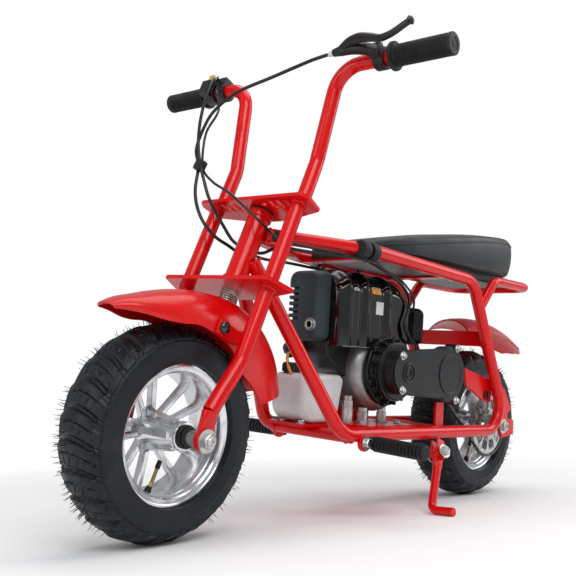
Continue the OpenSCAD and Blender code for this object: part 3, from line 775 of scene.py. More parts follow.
def seat():
    around = 160
    levels = [(share, 4.0, 9.0) for share in (0.08, 0.25, 0.45, 0.62, 0.76, 0.86, 0.93)]
    levels += [(0.965, 6.5, 6.0), (0.985, 9.5, 4.0), (0.994, 12.5, 0.0), (0.988, SEAM_DROP, 0.0),
               (1.0, SEAM_DROP + 3.5, 0.0), (1.004, 30, 0.0), (1.002, 45, 0.0), (0.985, 62, 0.0), (0.96, 74, 0.0)]
    shape = Shape()
    for share, drop, crown in levels:
        for k in range(around):
            shape.points.append(seat_point(share, 2 * math.pi * k / around, drop, crown))
    for share in (0.93, 0.5):
        for k in range(around):
            x, y, _ = seat_point(share, 2 * math.pi * k / around, 200, 0.0)
            shape.points.append((x, y, SEAT_BASE))
    rings = len(levels) + 2
    for i in range(rings - 1):
        a, b = i * around, (i + 1) * around
        shape.faces += [[a + k, a + (k + 1) % around, b + (k + 1) % around, b + k] for k in range(around)]
    shape.faces += [list(range(around))[::-1], [(rings - 1) * around + k for k in range(around)]]
    cushion = piece("seat_cushion_cover", shape, BIKE, "seat_vinyl", None, smooth_angle=70)
    smoothing = cushion.modifiers.new("round", "SUBSURF")
    smoothing.levels = smoothing.render_levels = 1
    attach(cushion, "frame")
    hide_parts("seat_cushion")

    seam = [seat_point(0.992, 2 * math.pi * k / 96, SEAM_DROP - 0.5, 0.0) for k in range(97)]
    piping = Shape().sweep(seam, 1.5, sides=10, samples=2)
    piece("seat_piping", piping, BIKE, "seat_vinyl", "frame", smooth_angle=80)


# Controls on the handlebars, in the steering frame

BAR_X, BAR_Z = 41, 341
BAR_R, GRIP_R, GRIP_END = 11, 16, 286
ALONG_BAR = shift(BAR_X, 0, BAR_Z) @ spin(-90, "X")


def hand_grip(name, side, node):
    """A moulded grip with a ribbed sleeve, an inner flange and a domed end."""
    inner = GRIP_END - 96
    line = [(BAR_R + 0.35, inner), (GRIP_R + 4.6, inner), (GRIP_R + 5, inner + 0.6), (GRIP_R + 5, inner + 3.4),
            (GRIP_R + 4.4, inner + 4), (GRIP_R - 0.6, inner + 5)]
    ribs = 34
    for k in range(ribs):
        z = inner + 8 + k * 2.35
        line += [(GRIP_R - 1.1, z), (GRIP_R - 0.2, z + 0.5), (GRIP_R - 0.2, z + 1.3), (GRIP_R - 1.1, z + 1.8)]
    line += [(GRIP_R - 0.4, GRIP_END - 6), (GRIP_R, GRIP_END - 5), (GRIP_R, GRIP_END - 1.5),
             (GRIP_R - 1.5, GRIP_END - 0.2), (9, GRIP_END - 0.2), (8.4, GRIP_END - 1), (5, GRIP_END - 1),
             (4.4, GRIP_END - 0.4), (0, GRIP_END - 0.4)]
    shape = Shape().lathe(line, ALONG_BAR if side > 0 else ALONG_BAR @ spin(180, "X"), 72)
    piece(name, shape, STEER, "soft_rubber", "steering", smooth_angle=35, replaces=[node])


def lever():
    """The brake lever and its perch on the left."""
    blade = Shape().sweep([(76, 120, 338), (84, 140, 341), (89, 160, 340), (93, 185, 331), (95, 205, 323),
                           (98, 225, 324), (101, 243, 331), (102, 252, 335)],
                          [6.5, 7.5, 7.2, 6.2, 5.2, 4.8, 4.6, 4.6], sides=16)
    blade.sweep([(101.6, 249, 334), (102, 252, 335), (102.4, 255, 336)], [4.5, 6.8, 4.5], sides=18, samples=5)
    piece("lever_blade", blade, STEER, "black_plastic", "steering", smooth_angle=60, replaces=["brake_lever"])
    perch = Shape()
    clamp_ring(perch, 162, 180)
    perch.sweep([(58, 172, 340), (68, 158, 339), (74, 140, 338), (76, 122, 337), (76, 108, 336)],
                [9, 9, 8, 7.5, 5.5], sides=14)
    perch.block((54, 163, 330), (66, 179, 350))
    piece("lever_perch", perch, STEER, "black_plastic", "steering", bevel=1.2)
    ferrule = Shape().sweep([(76, 108, 336), (76.4, 100, 335.6)], [4.4, 4.0], sides=18)
    piece("cable_ferrule", ferrule, STEER, "white_label", "steering", bevel=0.5)
    bolts = Shape()
    socket_screw(bolts, shift(78, 135, 345) @ spin(8, "Y"), 4.6, 4)
    for y in (166, 176):
        socket_screw(bolts, shift(60, y, 350), 2.8, 3)
    piece("lever_bolts", bolts, STEER, "zinc_steel", "steering", smooth_angle=30)


def clamp_ring(shape, low, high, thick=5.5):
    edge = BAR_R + thick
    shape.lathe([(BAR_R + 0.3, low), (edge - 1, low), (edge, low + 1), (edge, high - 1), (edge - 1, high),
                 (BAR_R + 0.3, high)], ALONG_BAR, 48, loop=True)


def throttle():
    """The twist throttle's housing and the stop switch on the right."""
    box = Shape()
    clamp_ring(box, -189, -165, 6.5)
    box.block((30, -188, 350), (56, -166, 366))
    box.block((50, -186, 326), (68, -168, 352))
    clamp_ring(box, -160, -142, 5)
    box.block((34, -160, 348), (56, -143, 362))
    piece("throttle_box", box, STEER, "black_plastic", "steering", bevel=2.0, replaces=["throttle_housing"])
    button = Shape().block((44, -183, 358), (61, -172, 369))
    piece("stop_button", button, STEER, "yellow_plastic", "steering", bevel=1.2)
    screws = Shape().sweep([(56, -164, 357), (66, -156, 356), (72, -150, 347)], [4, 3.6, 3.2], sides=16)
    for x, y, z in ((62, -182, 352), (62, -171, 352), (45, -156, 362), (45, -147, 362)):
        socket_screw(screws, shift(x, y, z), 2.6, 2.6)
    piece("throttle_screws", screws, STEER, "zinc_steel", "steering", smooth_angle=30)


# Cables, from the controls to a tie, past the head tube and along the frame

CABLE_R, LEAD_R = 2.6, 2.0
BRAKE_AT_BARS = [
    (76.4, 101, 335.6), (80, 76, 328), (86, 50, 314), (91, 12, 298), (90, -47, 286), (85, -85, 272),
    (80, -108, 253), (74, -119, 222), (70, -119, 196), (67, -101, 166), (63, -92, 128), (57, -80, 100),
    (47, -62, 75), (25, -50, 62), (0, -42, 60), (-30, -30, 56)]
BRAKE_ON_FRAME = [
    (590, -40, 410), (540, -55, 409), (470, -66, 412), (383, -71, 412), (273, -71, 412), (180, -71, 408),
    (128, -71, 385), (100, -70, 340), (76, -66, 262), (62, -62, 230), (58, -58, 206)]
THROTTLE_AT_BARS = [
    (60, -158, 356), (74, -150, 340), (80, -140, 300), (78, -130, 250), (74, -115, 205), (71, -94, 168),
    (62, -81, 142), (46, -68, 114), (16, -54, 88), (-10, -40, 70), (-34, -8, 66)]
THROTTLE_ON_FRAME = [
    (590, 28, 416), (540, 56, 414), (451, 84, 414), (365, 60, 407), (306, 50, 391), (271, 42, 372),
    (271, 42, 348), (281, 42, 322), (268, 45, 300), (248, 42, 292), (241, 30, 298), (238, 14, 312)]
LEAD_AT_BARS = [
    (60.3, -150, 335), (67, -136, 318), (60, -124, 292), (66, -112, 268), (72, -110, 225), (64, -95, 168),
    (60, -64, 140), (48, -26, 122), (36, 22, 92), (14, 38, 80)]
LEAD_ON_FRAME = [
    (604, 42, 426), (560, 58, 420), (500, 74, 418), (440, 72, 416), (365, 54, 409), (306, 44, 402),
    (262, 44, 376), (246, 34, 352), (251, 22, 344)]


def cable(name, at_bars, on_frame, radius):
    route = [STEER @ Vector(p) for p in at_bars] + [BIKE @ Vector(p) for p in on_frame]
    shape = Shape().sweep([p / MM for p in route], radius, sides=12, samples=8)
    made = piece(name, shape, Matrix.Scale(MM, 4), "cable_sleeve", None, smooth_angle=80)
    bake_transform(made)


def cables():
    cable("brake_cable", BRAKE_AT_BARS, BRAKE_ON_FRAME, CABLE_R)
    cable("throttle_cable", THROTTLE_AT_BARS, THROTTLE_ON_FRAME, CABLE_R)
    cable("switch_lead", LEAD_AT_BARS, LEAD_ON_FRAME, LEAD_R)
    tie = Shape()
    tie_band(tie, (67.5, -97, 167), (3, 6, 22), 9.5, 17)
    piece("bar_tie", tie, STEER, "soft_rubber", "steering", bevel=1.2, smooth_angle=50)
    bands = Shape()
    tie_band(bands, (604, 36, 430), (1, 0.3, 0), 8, 7)
    for x in (383, 273):
        tie_band(bands, (x, -84, 428), (1, 0, 0.03), 13.5, 9)
        bands.block((x - 2, -70, 414), (x + 2, -62, 417))
    piece("frame_ties", bands, BIKE, "soft_rubber", "frame", bevel=0.8, smooth_angle=50)
    wrap = Shape().sweep([(281, 42, 322), (268, 45, 300)], 3.4, sides=12, samples=1)
    piece("throttle_boot", wrap, BIKE, "soft_rubber", "frame", smooth_angle=60)


def strap(name, centre, direction, radius, width):
    """A hook and loop strap round a tube and its cables."""
    way = Vector(direction).normalized()
    line = [Vector(centre) + way * width * t for t in (-0.5, -0.42, -0.15, 0.15, 0.42, 0.5)]
    shape = Shape().sweep(line, [radius - 0.8, radius, radius + 0.7, radius + 0.5, radius, radius - 0.8], sides=28)
    piece(name, shape, BIKE, "soft_rubber", "frame", smooth_angle=50)


# Engine

CRANK, OUTPUT = (325, 240), (197, 241)
LEFT = BIKE @ spin(-90, "X")


def left_at(x, y, z, degrees=0):
    """A place on the left side, with its own +Z pointing out of the bike."""
    return BIKE @ shift(x, y, z) @ spin(-90, "X") @ spin(degrees)


COWL_RIDGES = (322, 382, 428)


def cowl_outline(grow, top, inset):
    """The cover's arch seen from the front, from its right foot over to its left foot."""
    right, left = -56 - grow + inset, 36 + grow - inset
    low, high = 276, top + grow
    corner = min(34, (high - low) * 0.45)
    arch = [(right, low), (right, low + 20)]
    arch += arc((right + corner, high - corner), corner, 180, 90, 9)
    arch += arc((left - corner, high - corner), corner, 90, 0, 11)
    return arch + [(left, low + 20), (left, low)]


def cowl():
    rows = []
    for x in np.linspace(253, 447, 118):
        back, front = max(0, 305 - x), max(0, x - 431)
        top = 402 - (52 - math.sqrt(max(52 ** 2 - back ** 2, 0))) - (16 - math.sqrt(max(16 ** 2 - front ** 2, 0)))
        edge = max(0, 265 - x, x - 435)
        inset = 12 - math.sqrt(max(144 - edge ** 2, 0))
        ridges = sum(3.0 * math.exp(-((x - at) / 6.5) ** 2) - 2.0 * math.exp(-((x - at - 12) / 6) ** 2)
                     for at in COWL_RIDGES)
        rows.append([(x, y, z) for y, z in cowl_outline(ridges, top, inset)])
    shape = Shape()
    n = len(rows[0])
    for row in rows:
        shape.points += row
    for i in range(len(rows) - 1):
        shape.faces += [[i * n + j, i * n + j + 1, (i + 1) * n + j + 1, (i + 1) * n + j] for j in range(n - 1)]
    shape.faces += [list(range(n)), [len(shape.points) - n + j for j in range(n)][::-1]]
    shape.faces += [[i * n, i * n + n - 1, (i + 1) * n + n - 1, (i + 1) * n] for i in range(len(rows) - 1)]
    piece("cowl_cover", shape, BIKE, "gloss_black", "frame", bevel=1.6, smooth_angle=40, replaces=["engine_cowl"])
    trim = Shape().sweep([(256, 37.4, 277), (350, 37.6, 277), (444, 37.4, 277)], 1.8, sides=10, samples=2)
    piece("cowl_hem", trim, BIKE, "gloss_black", "frame", smooth_angle=60)
    for name, surface, x, z, out, tilt, size in (("orange_label_plate", "orange_label", 359, 374, 36.4, -18, (12, 5)),
                                                 ("white_label_plate", "white_label", 347, 346, 36.2, 0, (10, 11))):
        label = Shape().block((-size[0], -size[1], -1), (size[0], size[1], 0.7))
        piece(name, label, BIKE @ shift(x, out, z) @ spin(-90 - tilt, "X"), surface, "frame", bevel=0.2)
    skirt = Shape().prism([(x, -z) for x, z in ((374, 284), (450, 284), (446, 262), (418, 240), (392, 226), (374, 222))],
                          -50, 8)
    piece("cowl_skirt", skirt, LEFT, "black_plastic", "frame", bevel=3)


def guard():
    """The moulded guard in front of the cover, with louvres and a round port for the tailpipe."""
    shape = Shape()
    rows = [(447.3, 1.2), (448.4, 0), (468, 1.5), (474, 3.6), (477.6, 6.4), (479.6, 10), (480.3, 14)]
    for x, inset in rows:
        outline = rounded_box((-60 + inset, 282 + inset), (12 - inset, 400 - inset), 16 - 0.6 * inset)
        shape.points += [(x, y, z) for y, z in outline]
    n = len(shape.points) // len(rows)
    for i in range(len(rows) - 1):
        shape.faces += [[i * n + j, i * n + (j + 1) % n, (i + 1) * n + (j + 1) % n, (i + 1) * n + j]
                        for j in range(n)]
    shape.faces += [list(range(n))[::-1], [len(shape.points) - n + j for j in range(n)]]
    holes = Shape().lathe([(0, 460), (9, 460), (9, 490), (0, 490)], shift(0, -2, 309) @ spin(90, "Y"), 40)
    for i in range(6):
        holes.block((462, -70, 316 + 10 * i), (500, -30, 320.5 + 10 * i))
    piece("heat_guard", shape, BIKE, "slate_plastic", "frame", bevel=0.8, smooth_angle=30, replaces=["muffler_guard"],
          holes=holes)
    pipe = Shape().lathe([(5.2, -18), (7.8, -18), (7.8, 2.4), (7.2, 3), (5.8, 3), (5.2, 2.4)],
                         shift(480, -2, 309) @ spin(90, "Y"), 40, loop=True)
    piece("tailpipe", pipe, BIKE, "zinc_steel", "frame", smooth_angle=30)
    ring = Shape().lathe([(8.4, -3), (10.6, -3), (10.6, 0.8), (9.9, 1.5), (9.1, 1.5), (8.4, 0.8)],
                         shift(480.3, -2, 309) @ spin(90, "Y"), 40, loop=True)
    piece("tailpipe_ring", ring, BIKE, "cast_alloy", "frame", smooth_angle=30)


def crankcase():
    ribs = Shape()
    for k in range(8):
        z = 190 + 10.6 * k
        ribs.block((281, -54, z), (369, -13, z + 3))
    for x in (296, 325, 354):
        ribs.block((x - 2.5, -55, 186), (x + 2.5, -13, 274))
    piece("crankcase_ribs", ribs, BIKE, "cast_alloy", "frame", bevel=0.7)


def intake():
    body = Shape().block((222, -30, 302), (252.6, 8, 344))
    body.lathe([(0, 224), (18, 224), (18, 230), (15, 232), (15, 246), (18, 248), (18, 252), (0, 252)],
               shift(0, -11, 323) @ spin(90, "Y"), 40)
    body.lathe([(0, 340), (9, 340), (9, 351), (7.4, 352.6), (0, 352.6)], shift(237, -11, 0), 28)
    body.lathe([(0, 292), (12, 292), (13, 294), (13, 303), (0, 303)], shift(237, -11, 0), 36)
    piece("carburettor_body", body, BIKE, "cast_alloy", "frame", bevel=1.2, smooth_angle=30, replaces=["air_filter"])
    arm = Shape().lathe([(0, 8), (10, 8), (10, 11), (7, 12), (4, 12), (4, 14), (0, 14)],
                        shift(238, 0, 322) @ spin(-90, "X"), 36)
    arm.block((234, 9, 308), (241, 12, 322))
    piece("throttle_arm", arm, BIKE, "zinc_steel", "frame", bevel=0.5)
    cover = Shape().prism(rounded_box((-44, 292), (22, 358), 12), 0, 30, shift(192, 0, 0) @ Matrix((
        (0, 0, 1, 0), (1, 0, 0, 0), (0, 1, 0, 0), (0, 0, 0, 1))))
    for k in range(5):
        cover.prism(rounded_box((-45.2, 290.8), (23.2, 359.2), 13), 4.5 + 5 * k, 6.5 + 5 * k, shift(192, 0, 0) @ Matrix((
            (0, 0, 1, 0), (1, 0, 0, 0), (0, 1, 0, 0), (0, 0, 0, 1))))
    piece("air_filter_cover", cover, BIKE, "black_plastic", "frame", bevel=0.8)
    knob = Shape().lathe([(0, 0), (9, 0), (9, 5), (7.5, 6.5), (0, 6.5)], shift(192.5, -11, 325) @ spin(-90, "Y"), 24)
    piece("filter_knob", knob, BIKE, "black_plastic", "frame", bevel=0.8)


def case_outline(grow=0.0):
    """The reduction case seen from the left: a round end on each shaft and straight flanks."""
    back = arc(OUTPUT, 50 + grow, 62, 298, 40)
    return back + arc((330, 240), 38 + grow, -76, 76, 16)


def reduction_case():
    body = Shape().prism([(x, -z) for x, z in case_outline()], 66.5, 85)
    body.prism([(x, -z) for x, z in case_outline(-2.6)], 84.5, 88)
    for x, z in ((345, 268), (343, 211), (178, 288), (176, 195)):
        body.lathe([(0, 66), (8, 66), (8, 87), (6.8, 88.4), (0, 88.4)], shift(x, -z, 0), 28)
    body.lathe([(0, 86), (36.5, 86), (36.5, 89.2), (35.4, 90), (33.4, 90), (32.4, 89), (0, 89)],
               shift(OUTPUT[0], -OUTPUT[1], 0), 72)
    for r in (17, 10):
        body.lathe([(r - 3.4, 87), (r, 87), (r, 89.4), (r - 1, 90), (r - 2.6, 90), (r - 3.4, 89.4)],
                   shift(CRANK[0], -CRANK[1], 0), 48, loop=True)
    piece("reduction_cover", body, LEFT, "black_plastic", "frame", bevel=1.6, smooth_angle=32,
          replaces=["reduction_case"])
    screws = Shape()
    for x, z in ((345, 268), (343, 211), (178, 288), (176, 195)):
        hex_bolt(screws, shift(x, -z, 88), 8.5, 5)
    piece("case_screws", screws, LEFT, "zinc_steel", "frame", smooth_angle=28)


def clutch():
    ribs = Shape()
    ribs.lathe([(20, 36), (57.5, 36), (58.5, 37), (58.5, 44), (57.5, 45.4), (51, 46), (50, 48), (50, 50), (47, 50.6),
                (47, 53), (50, 53.6), (50, 56.4), (47, 57), (47, 59.4), (50, 60), (50, 63), (47, 63.6), (47, 67),
                (20, 67)], shift(CRANK[0], -CRANK[1], 0), 72)
    for i in range(16):
        ribs.prism([(44, -1.6), (56.5, -1.6), (56.5, 1.6), (44, 1.6)], 44, 58,
                   shift(CRANK[0], -CRANK[1], 0) @ spin(22.5 * i + 8))
    for i in range(6):
        ribs.lathe([(0, 40), (6, 40), (6, 50), (5, 51), (0, 51)],
                   shift(CRANK[0], -CRANK[1], 0) @ spin(60 * i + 20) @ shift(54.5, 0, 0), 24)
    piece("clutch_cover", ribs, LEFT, "black_plastic", "frame", bevel=0.8, smooth_angle=30,
          replaces=["clutch_housing"])
    bell = Shape().lathe([(10, -30), (62, -30), (68, -27), (70, -22), (70, 16), (67.5, 24), (62, 30), (55, 34), (48, 35.4),
                          (10, 35.4)], shift(CRANK[0], -CRANK[1], 0), 96)
    for i in range(3):
        bell.prism([(63, -4), (71, -4), (71, 4), (63, 4)], -6, 18,
                   shift(CRANK[0], -CRANK[1], 0) @ spin(120 + 40 * i))
    bell.block((392, -212, -24), (402, -180, -4))
    piece("fan_bell", bell, LEFT, "cast_alloy", "frame", bevel=1.4, smooth_angle=30, replaces=["fan_case"])
    clamp = Shape().prism([(398, -208), (412, -204), (416, -190), (408, -178), (396, -182)], -20, -4)
    piece("fan_clamp", clamp, LEFT, "black_plastic", "frame", bevel=1.4)
    posts = Shape()
    for x, y, top in ((392, 14, 196), (353, 16, 176), (392, -40, 196), (300, 16, 176)):
        posts.lathe([(0, 151.4), (8.6, 151.4), (8.6, top - 8), (7.4, top - 7), (7.4, top), (0, top)], shift(x, y, 0), 6)
        posts.lathe([(0, 151.4), (11.5, 151.4), (11.5, 153.4), (0, 153.4)], shift(x, y, 0), 28)
    piece("engine_posts", posts, BIKE, "zinc_steel", "frame", smooth_angle=25)


def tank():
    low = 151.4
    outline = (arc((417, low + 66), 12, 180, 90, 6) + arc((495, low + 66), 12, 90, 0, 6)
               + arc((477, low + 32), 32, 0, -90, 12) + arc((429, low + 14), 14, 270, 180, 8))
    body = Shape().prism([(x, -z) for x, z in outline], -52, 16)
    made = piece("tank_shell", body, LEFT, "tank_plastic", "frame", smooth_angle=50, replaces=["fuel_tank"])
    soft = made.modifiers.new("edges", "BEVEL")
    soft.width, soft.segments, soft.limit_method = 8 * MM, 4, "ANGLE"
    soft.angle_limit = math.radians(60)
    seam = Shape().sweep([(x, -18, z) for x, z in outline + outline[:1]], 0.9, sides=6, samples=1)
    piece("tank_seam", seam, BIKE, "tank_plastic", "frame", smooth_angle=60)
    cap = Shape().lathe([(0, 226), (13, 226), (13, 230), (15, 231), (15, 243), (14, 245.6), (0, 246)],
                        shift(488, -28, 0), 40)
    for i in range(20):
        cap.prism([(14, -0.9), (16, -0.9), (16, 0.9), (14, 0.9)], 231, 243, shift(488, -28, 0) @ spin(18 * i))
    piece("tank_cap", cap, BIKE, "black_plastic", "frame", smooth_angle=30, replaces=["fuel_cap"])
    hose = Shape().sweep([(470, -6, 226), (474, -16, 244), (470, -34, 262), (452, -50, 266)], 3.2, sides=12)
    hose.sweep([(500, -12, 222), (503, -20, 236), (494, -34, 252), (474, -50, 262)], 2.6, sides=12)
    piece("fuel_hoses", hose, BIKE, "yellow_plastic", "frame", smooth_angle=60)
    bulb = Shape().lathe([(0, 0), (9, 0), (9, 6), (12, 9), (12, 18), (9, 23), (0, 24)],
                         shift(462, -54, 256) @ spin(25, "Y"), 32)
    piece("primer_body", bulb, BIKE, "black_plastic", "frame", bevel=0.8)


def starter():
    """The recoil starter's housing on the right, with its ring of slots, ears and pull handle."""
    at = shift(CRANK[0], 0, CRANK[1]) @ spin(90, "X")
    shell = Shape().lathe([(0, 53), (58, 53), (58, 64.5), (57, 66.6), (47, 78.4), (45, 80), (19, 83.6), (17, 84),
                           (0, 84)], at, 96)
    slots = Shape()
    for k in range(12):
        slots.prism([(23, -2.2), (43, -4.2), (43, 4.2), (23, 2.2)], 74, 92, at @ spin(30 * k + 15))
    for k in range(24):
        slots.prism([(53.5, -2.2), (62, -2.2), (62, 2.2), (53.5, 2.2)], 57, 64, at @ spin(15 * k))
    piece("starter_shell", shell, BIKE, "black_plastic", "frame", bevel=0.6, smooth_angle=30,
          replaces=["recoil_starter"], holes=slots)
    ears, screws = Shape(), Shape()
    for k in range(4):
        ear = at @ spin(45 + 90 * k) @ shift(60, 0, 0)
        ears.lathe([(0, 53.2), (6.5, 53.2), (6.5, 61), (5.6, 62), (0, 62)], ear, 28)
        hex_bolt(screws, ear @ shift(0, 0, 62), 7, 4)
    piece("starter_ears", ears, BIKE, "black_plastic", "frame", smooth_angle=30)
    piece("starter_screws", screws, BIKE, "zinc_steel", "frame", smooth_angle=28)
    handle = Shape().sweep([(364, -70, 282), (372, -78, 288), (376, -84, 292)], [5, 4.4, 3.4], sides=16)
    handle.sweep([(360, -87, 304), (376, -86.4, 293), (392, -87, 282)], [4.6, 5.4, 4.6], sides=16)
    piece("starter_handle", handle, BIKE, "black_plastic", "frame", smooth_angle=60)


# Frame details

def tie_band(shape, centre, way, radius, width):
    line = [Vector(centre) + Vector(way).normalized() * width * t for t in (-0.5, -0.4, 0.4, 0.5)]
    shape.sweep(line, [radius - 0.6, radius, radius, radius - 0.6], sides=28, samples=1)


def weld(shape, centre, way, radius):
    """A bead of weld round the end of a tube."""
    matrix = Matrix.Translation(centre) @ Vector(way).to_track_quat("Z", "Y").to_matrix().to_4x4()
    ring = [(radius + 1.5 * math.cos(a), 1.9 * math.sin(a)) for a in (math.pi * k / 4 for k in range(8))]
    shape.lathe(ring, matrix, 48, loop=True)


def welds():
    beads = Shape()
    for side in (1, -1):
        for x in (160, 290, 375, 465):
            weld(beads, (x, side * 75.6, 137), (0, 1, 0), 9)
        weld(beads, (628, side * 15, 390), (14, -6, 25), 11)
        weld(beads, (601, side * 14.6, 433.6), (20, -7, 1), 11)
    piece("frame_welds", beads, BIKE, "red_paint", "frame", smooth_angle=80)
    beads = Shape()
    for side in (1, -1):
        for s in (-18.4, -11.6, 118.6, 125.4):
            x = 12.6 if s < 120 else 7
            weld(beads, (x, side * 82.5, s), (0, 0, 1), 11)
    piece("fork_welds", beads, STEER, "red_paint", "steering", smooth_angle=80)


STEM_R = 10
UPPER_S, PLATE_H = 119, 6


def stem():
    steel = Shape().lathe([(0, -37.6), (STEM_R, -37.6), (STEM_R, 134), (0, 134)], steps=40)
    steel.lathe([(0, -26), (15, -26), (15, -18.2), (0, -18.2)], steps=6)
    steel.lathe([(0, UPPER_S + PLATE_H), (17, UPPER_S + PLATE_H), (17, UPPER_S + PLATE_H + 1.6),
                 (0, UPPER_S + PLATE_H + 1.6)], steps=40)
    lock_nut(steel, shift(0, 0, UPPER_S + PLATE_H + 1), 24, 10)
    for k in range(3):
        z = -37 + 3.6 * k
        steel.lathe([(STEM_R, z), (13.4, z), (14.2, z + 0.8), (14.2, z + 2), (13.4, z + 2.8), (STEM_R, z + 2.8)],
                    steps=40, loop=True)
    piece("stem_set", steel, STEER, "zinc_steel", "steering", smooth_angle=28, replaces=["steering_stem"])
    races = Shape()
    for z in (-11.8, 115):
        races.lathe([(STEM_R + 0.4, z), (18, z), (18.8, z + 0.7), (18.8, z + 3), (18, z + 3.7), (STEM_R + 0.4, z + 3.7)],
                    steps=48, loop=True)
    piece("head_seals", races, STEER, "soft_rubber", "steering", smooth_angle=28)


def upper_plate():
    outline = [(34, 102), (22, 109), (-11, 104), (-30, 30), (-30, -30), (-11, -104), (22, -109), (34, -102)]
    slots = Shape()
    for y in (-64, -50, -36, 36, 50, 64):
        slots.prism(rounded_box((4, y - 3.5), (26, y + 3.5), 3.4), UPPER_S - 10, UPPER_S + 20)
    for y in (-20, 20):
        slots.lathe([(0, UPPER_S - 10), (5, UPPER_S - 10), (5, UPPER_S + 20), (0, UPPER_S + 20)], shift(18, y, 0), 32)
    shape = Shape().prism(outline[::-1], UPPER_S, UPPER_S + PLATE_H)
    piece("top_clamp_plate", shape, STEER, "red_paint", "steering", bevel=0.9, smooth_angle=30,
          replaces=["upper_plate"], holes=slots)


FORK_T, FORK_Y, FORK_R = 12.6, 82.5, 11
END_TOP, END_LOW = Vector((33.2, 0, -205)), Vector((26.7, 0, -241.7))


def fork_legs():
    """The two legs, each flattened into a round plate at the axle, with the fender's lugs."""
    shape = Shape()
    for side in (1, -1):
        mirror = Matrix.Scale(side, 4, (0, 1, 0))
        path = rounded([(FORK_T, FORK_Y, UPPER_S - 0.2), (FORK_T, FORK_Y, -127), (28, FORK_Y, -183),
                        (END_TOP.x, FORK_Y, END_TOP.z)], 40)
        shape.sweep([tuple(p) for p in path], FORK_R, sides=40, samples=1, matrix=mirror)
        along = (END_LOW - END_TOP).normalized()
        across = Vector((along.z, 0, -along.x))
        rings = [(-1, 11, 11), (3, 11, 10.8), (8, 11.6, 9), (13, 12.4, 6.4), (18, 13.2, 4.9), (24, 13.8, 4.5),
                 (38, 14, 4.4)]
        points = []
        for far, wide, thick in rings:
            centre = END_TOP + along * far + Vector((0, FORK_Y, 0))
            power = 0.75 if thick < 7 else 1
            for k in range(40):
                c, sn = math.cos(math.pi * k / 20), math.sin(math.pi * k / 20)
                points.append(centre + across * wide * math.copysign(abs(c) ** power, c)
                              + Vector((0, thick * math.copysign(abs(sn) ** power, sn), 0)))
        faces = [[i * 40 + k, i * 40 + (k + 1) % 40, (i + 1) * 40 + (k + 1) % 40, (i + 1) * 40 + k]
                 for i in range(len(rings) - 1) for k in range(40)]
        faces += [list(range(40))[::-1], [len(points) - 40 + k for k in range(40)]]
        shape.add(points, faces, mirror)
        shape.lathe([(0, -5), (13, -5), (14, -4), (14, 4), (13, 5), (0, 5)],
                    mirror @ shift(END_LOW.x, FORK_Y, END_LOW.z) @ spin(-90, "X"), 48)
        shape.block((8, 58, -104), (18, 74, -86), mirror)
        shape.block((8, 57, -104), (52, 61, -84), mirror)
    piece("fork_legs", shape, STEER, "red_paint", "steering", bevel=0.8, smooth_angle=34, replaces=["fork_tubes"])


def bolts():
    heads = Shape()
    for side in (1, -1):
        hex_bolt(heads, shift(442, side * 97, 130) @ spin(-90 * side, "X"), 13, 6)
        for x in (164, 414):
            hex_bolt(heads, shift(x, side * 60, 419.6) @ spin(180, "X"), 9, 4.5)
    for x, y in ((290, 44), (290, -60), (388, 44), (388, -60), (500, 10), (500, -46)):
        hex_bolt(heads, shift(x, y, 151.2), 9, 4.5)
    for x in (40, 60):
        hex_bolt(heads, shift(x, -52.6, 184 + (x - 40) * 0.4) @ spin(-90, "X"), 7, 4)
    piece("frame_bolts", heads, BIKE, "zinc_steel", "frame", smooth_angle=28)
    domes = Shape()
    for side in (1, -1):
        domes.lathe([(0, -1), (8.4, -1), (9, 0), (8.2, 3), (5, 5), (0, 5.6)],
                    shift(41, side * 61, -92.5) @ spin(-90 * side, "X"), 36)
    piece("fender_plugs", domes, STEER, "gloss_black", "steering", smooth_angle=50)
    pins = Shape()
    for side in (1, -1):
        pins.lathe([(0, 0), (8.6, 0), (8.6, 2.4), (5.4, 3.2), (4.6, 1.2), (0, 1.2)],
                   shift(46, side * 74.8, 204) @ spin(-90 * side, "X"), 36)
    piece("gusset_plugs", pins, BIKE, "black_plastic", "frame", smooth_angle=40)


def foot_peg(name, side, node):
    lug = Shape()
    plate = arc((442, 130), 14, -190, 10, 18) + [(452, 142), (424, 142)]
    lug.prism([(x, -z) for x, z in plate][::-1], 89.5, 96)
    mirror = Matrix.Scale(-1, 4, (0, 1, 0)) if side < 0 else Matrix.Identity(4)
    piece(name + "_lug", lug, BIKE @ mirror @ spin(-90, "X"), "red_paint", "frame", bevel=1.2, replaces=[node])
    peg = Shape()
    bar = shift(424, 96, 128) @ spin(-90, "X") @ spin(7, "Y")
    line = [(0, 0), (10, 0), (10, 4)]
    for k in range(14):
        z = 6 + 7.1 * k
        line += [(9.4, z), (12, z + 0.9), (12, z + 4.2), (9.4, z + 5.1)]
    peg.lathe(line + [(11, 106), (8, 108), (0, 108)], bar, 40)
    piece(name + "_rubber", peg, BIKE @ mirror, "soft_rubber", "frame", smooth_angle=30)


def stand_bolt():
    stand_axis = joint_line("stand_fold")
    matrix = Matrix.Translation(stand_axis[0]) @ stand_axis[1].to_track_quat("Z", "Y").to_matrix().to_4x4() @ (
        Matrix.Scale(MM, 4))
    nut = Shape()
    lock_nut(nut, shift(0, 0, 13.4), 14, 8)
    hex_bolt(nut, shift(0, 0, -15.4) @ spin(180, "X"), 14, 6)
    piece("stand_pivot_nuts", nut, matrix, "zinc_steel", "frame", smooth_angle=28)


# Front fender, from the same sections as its solid

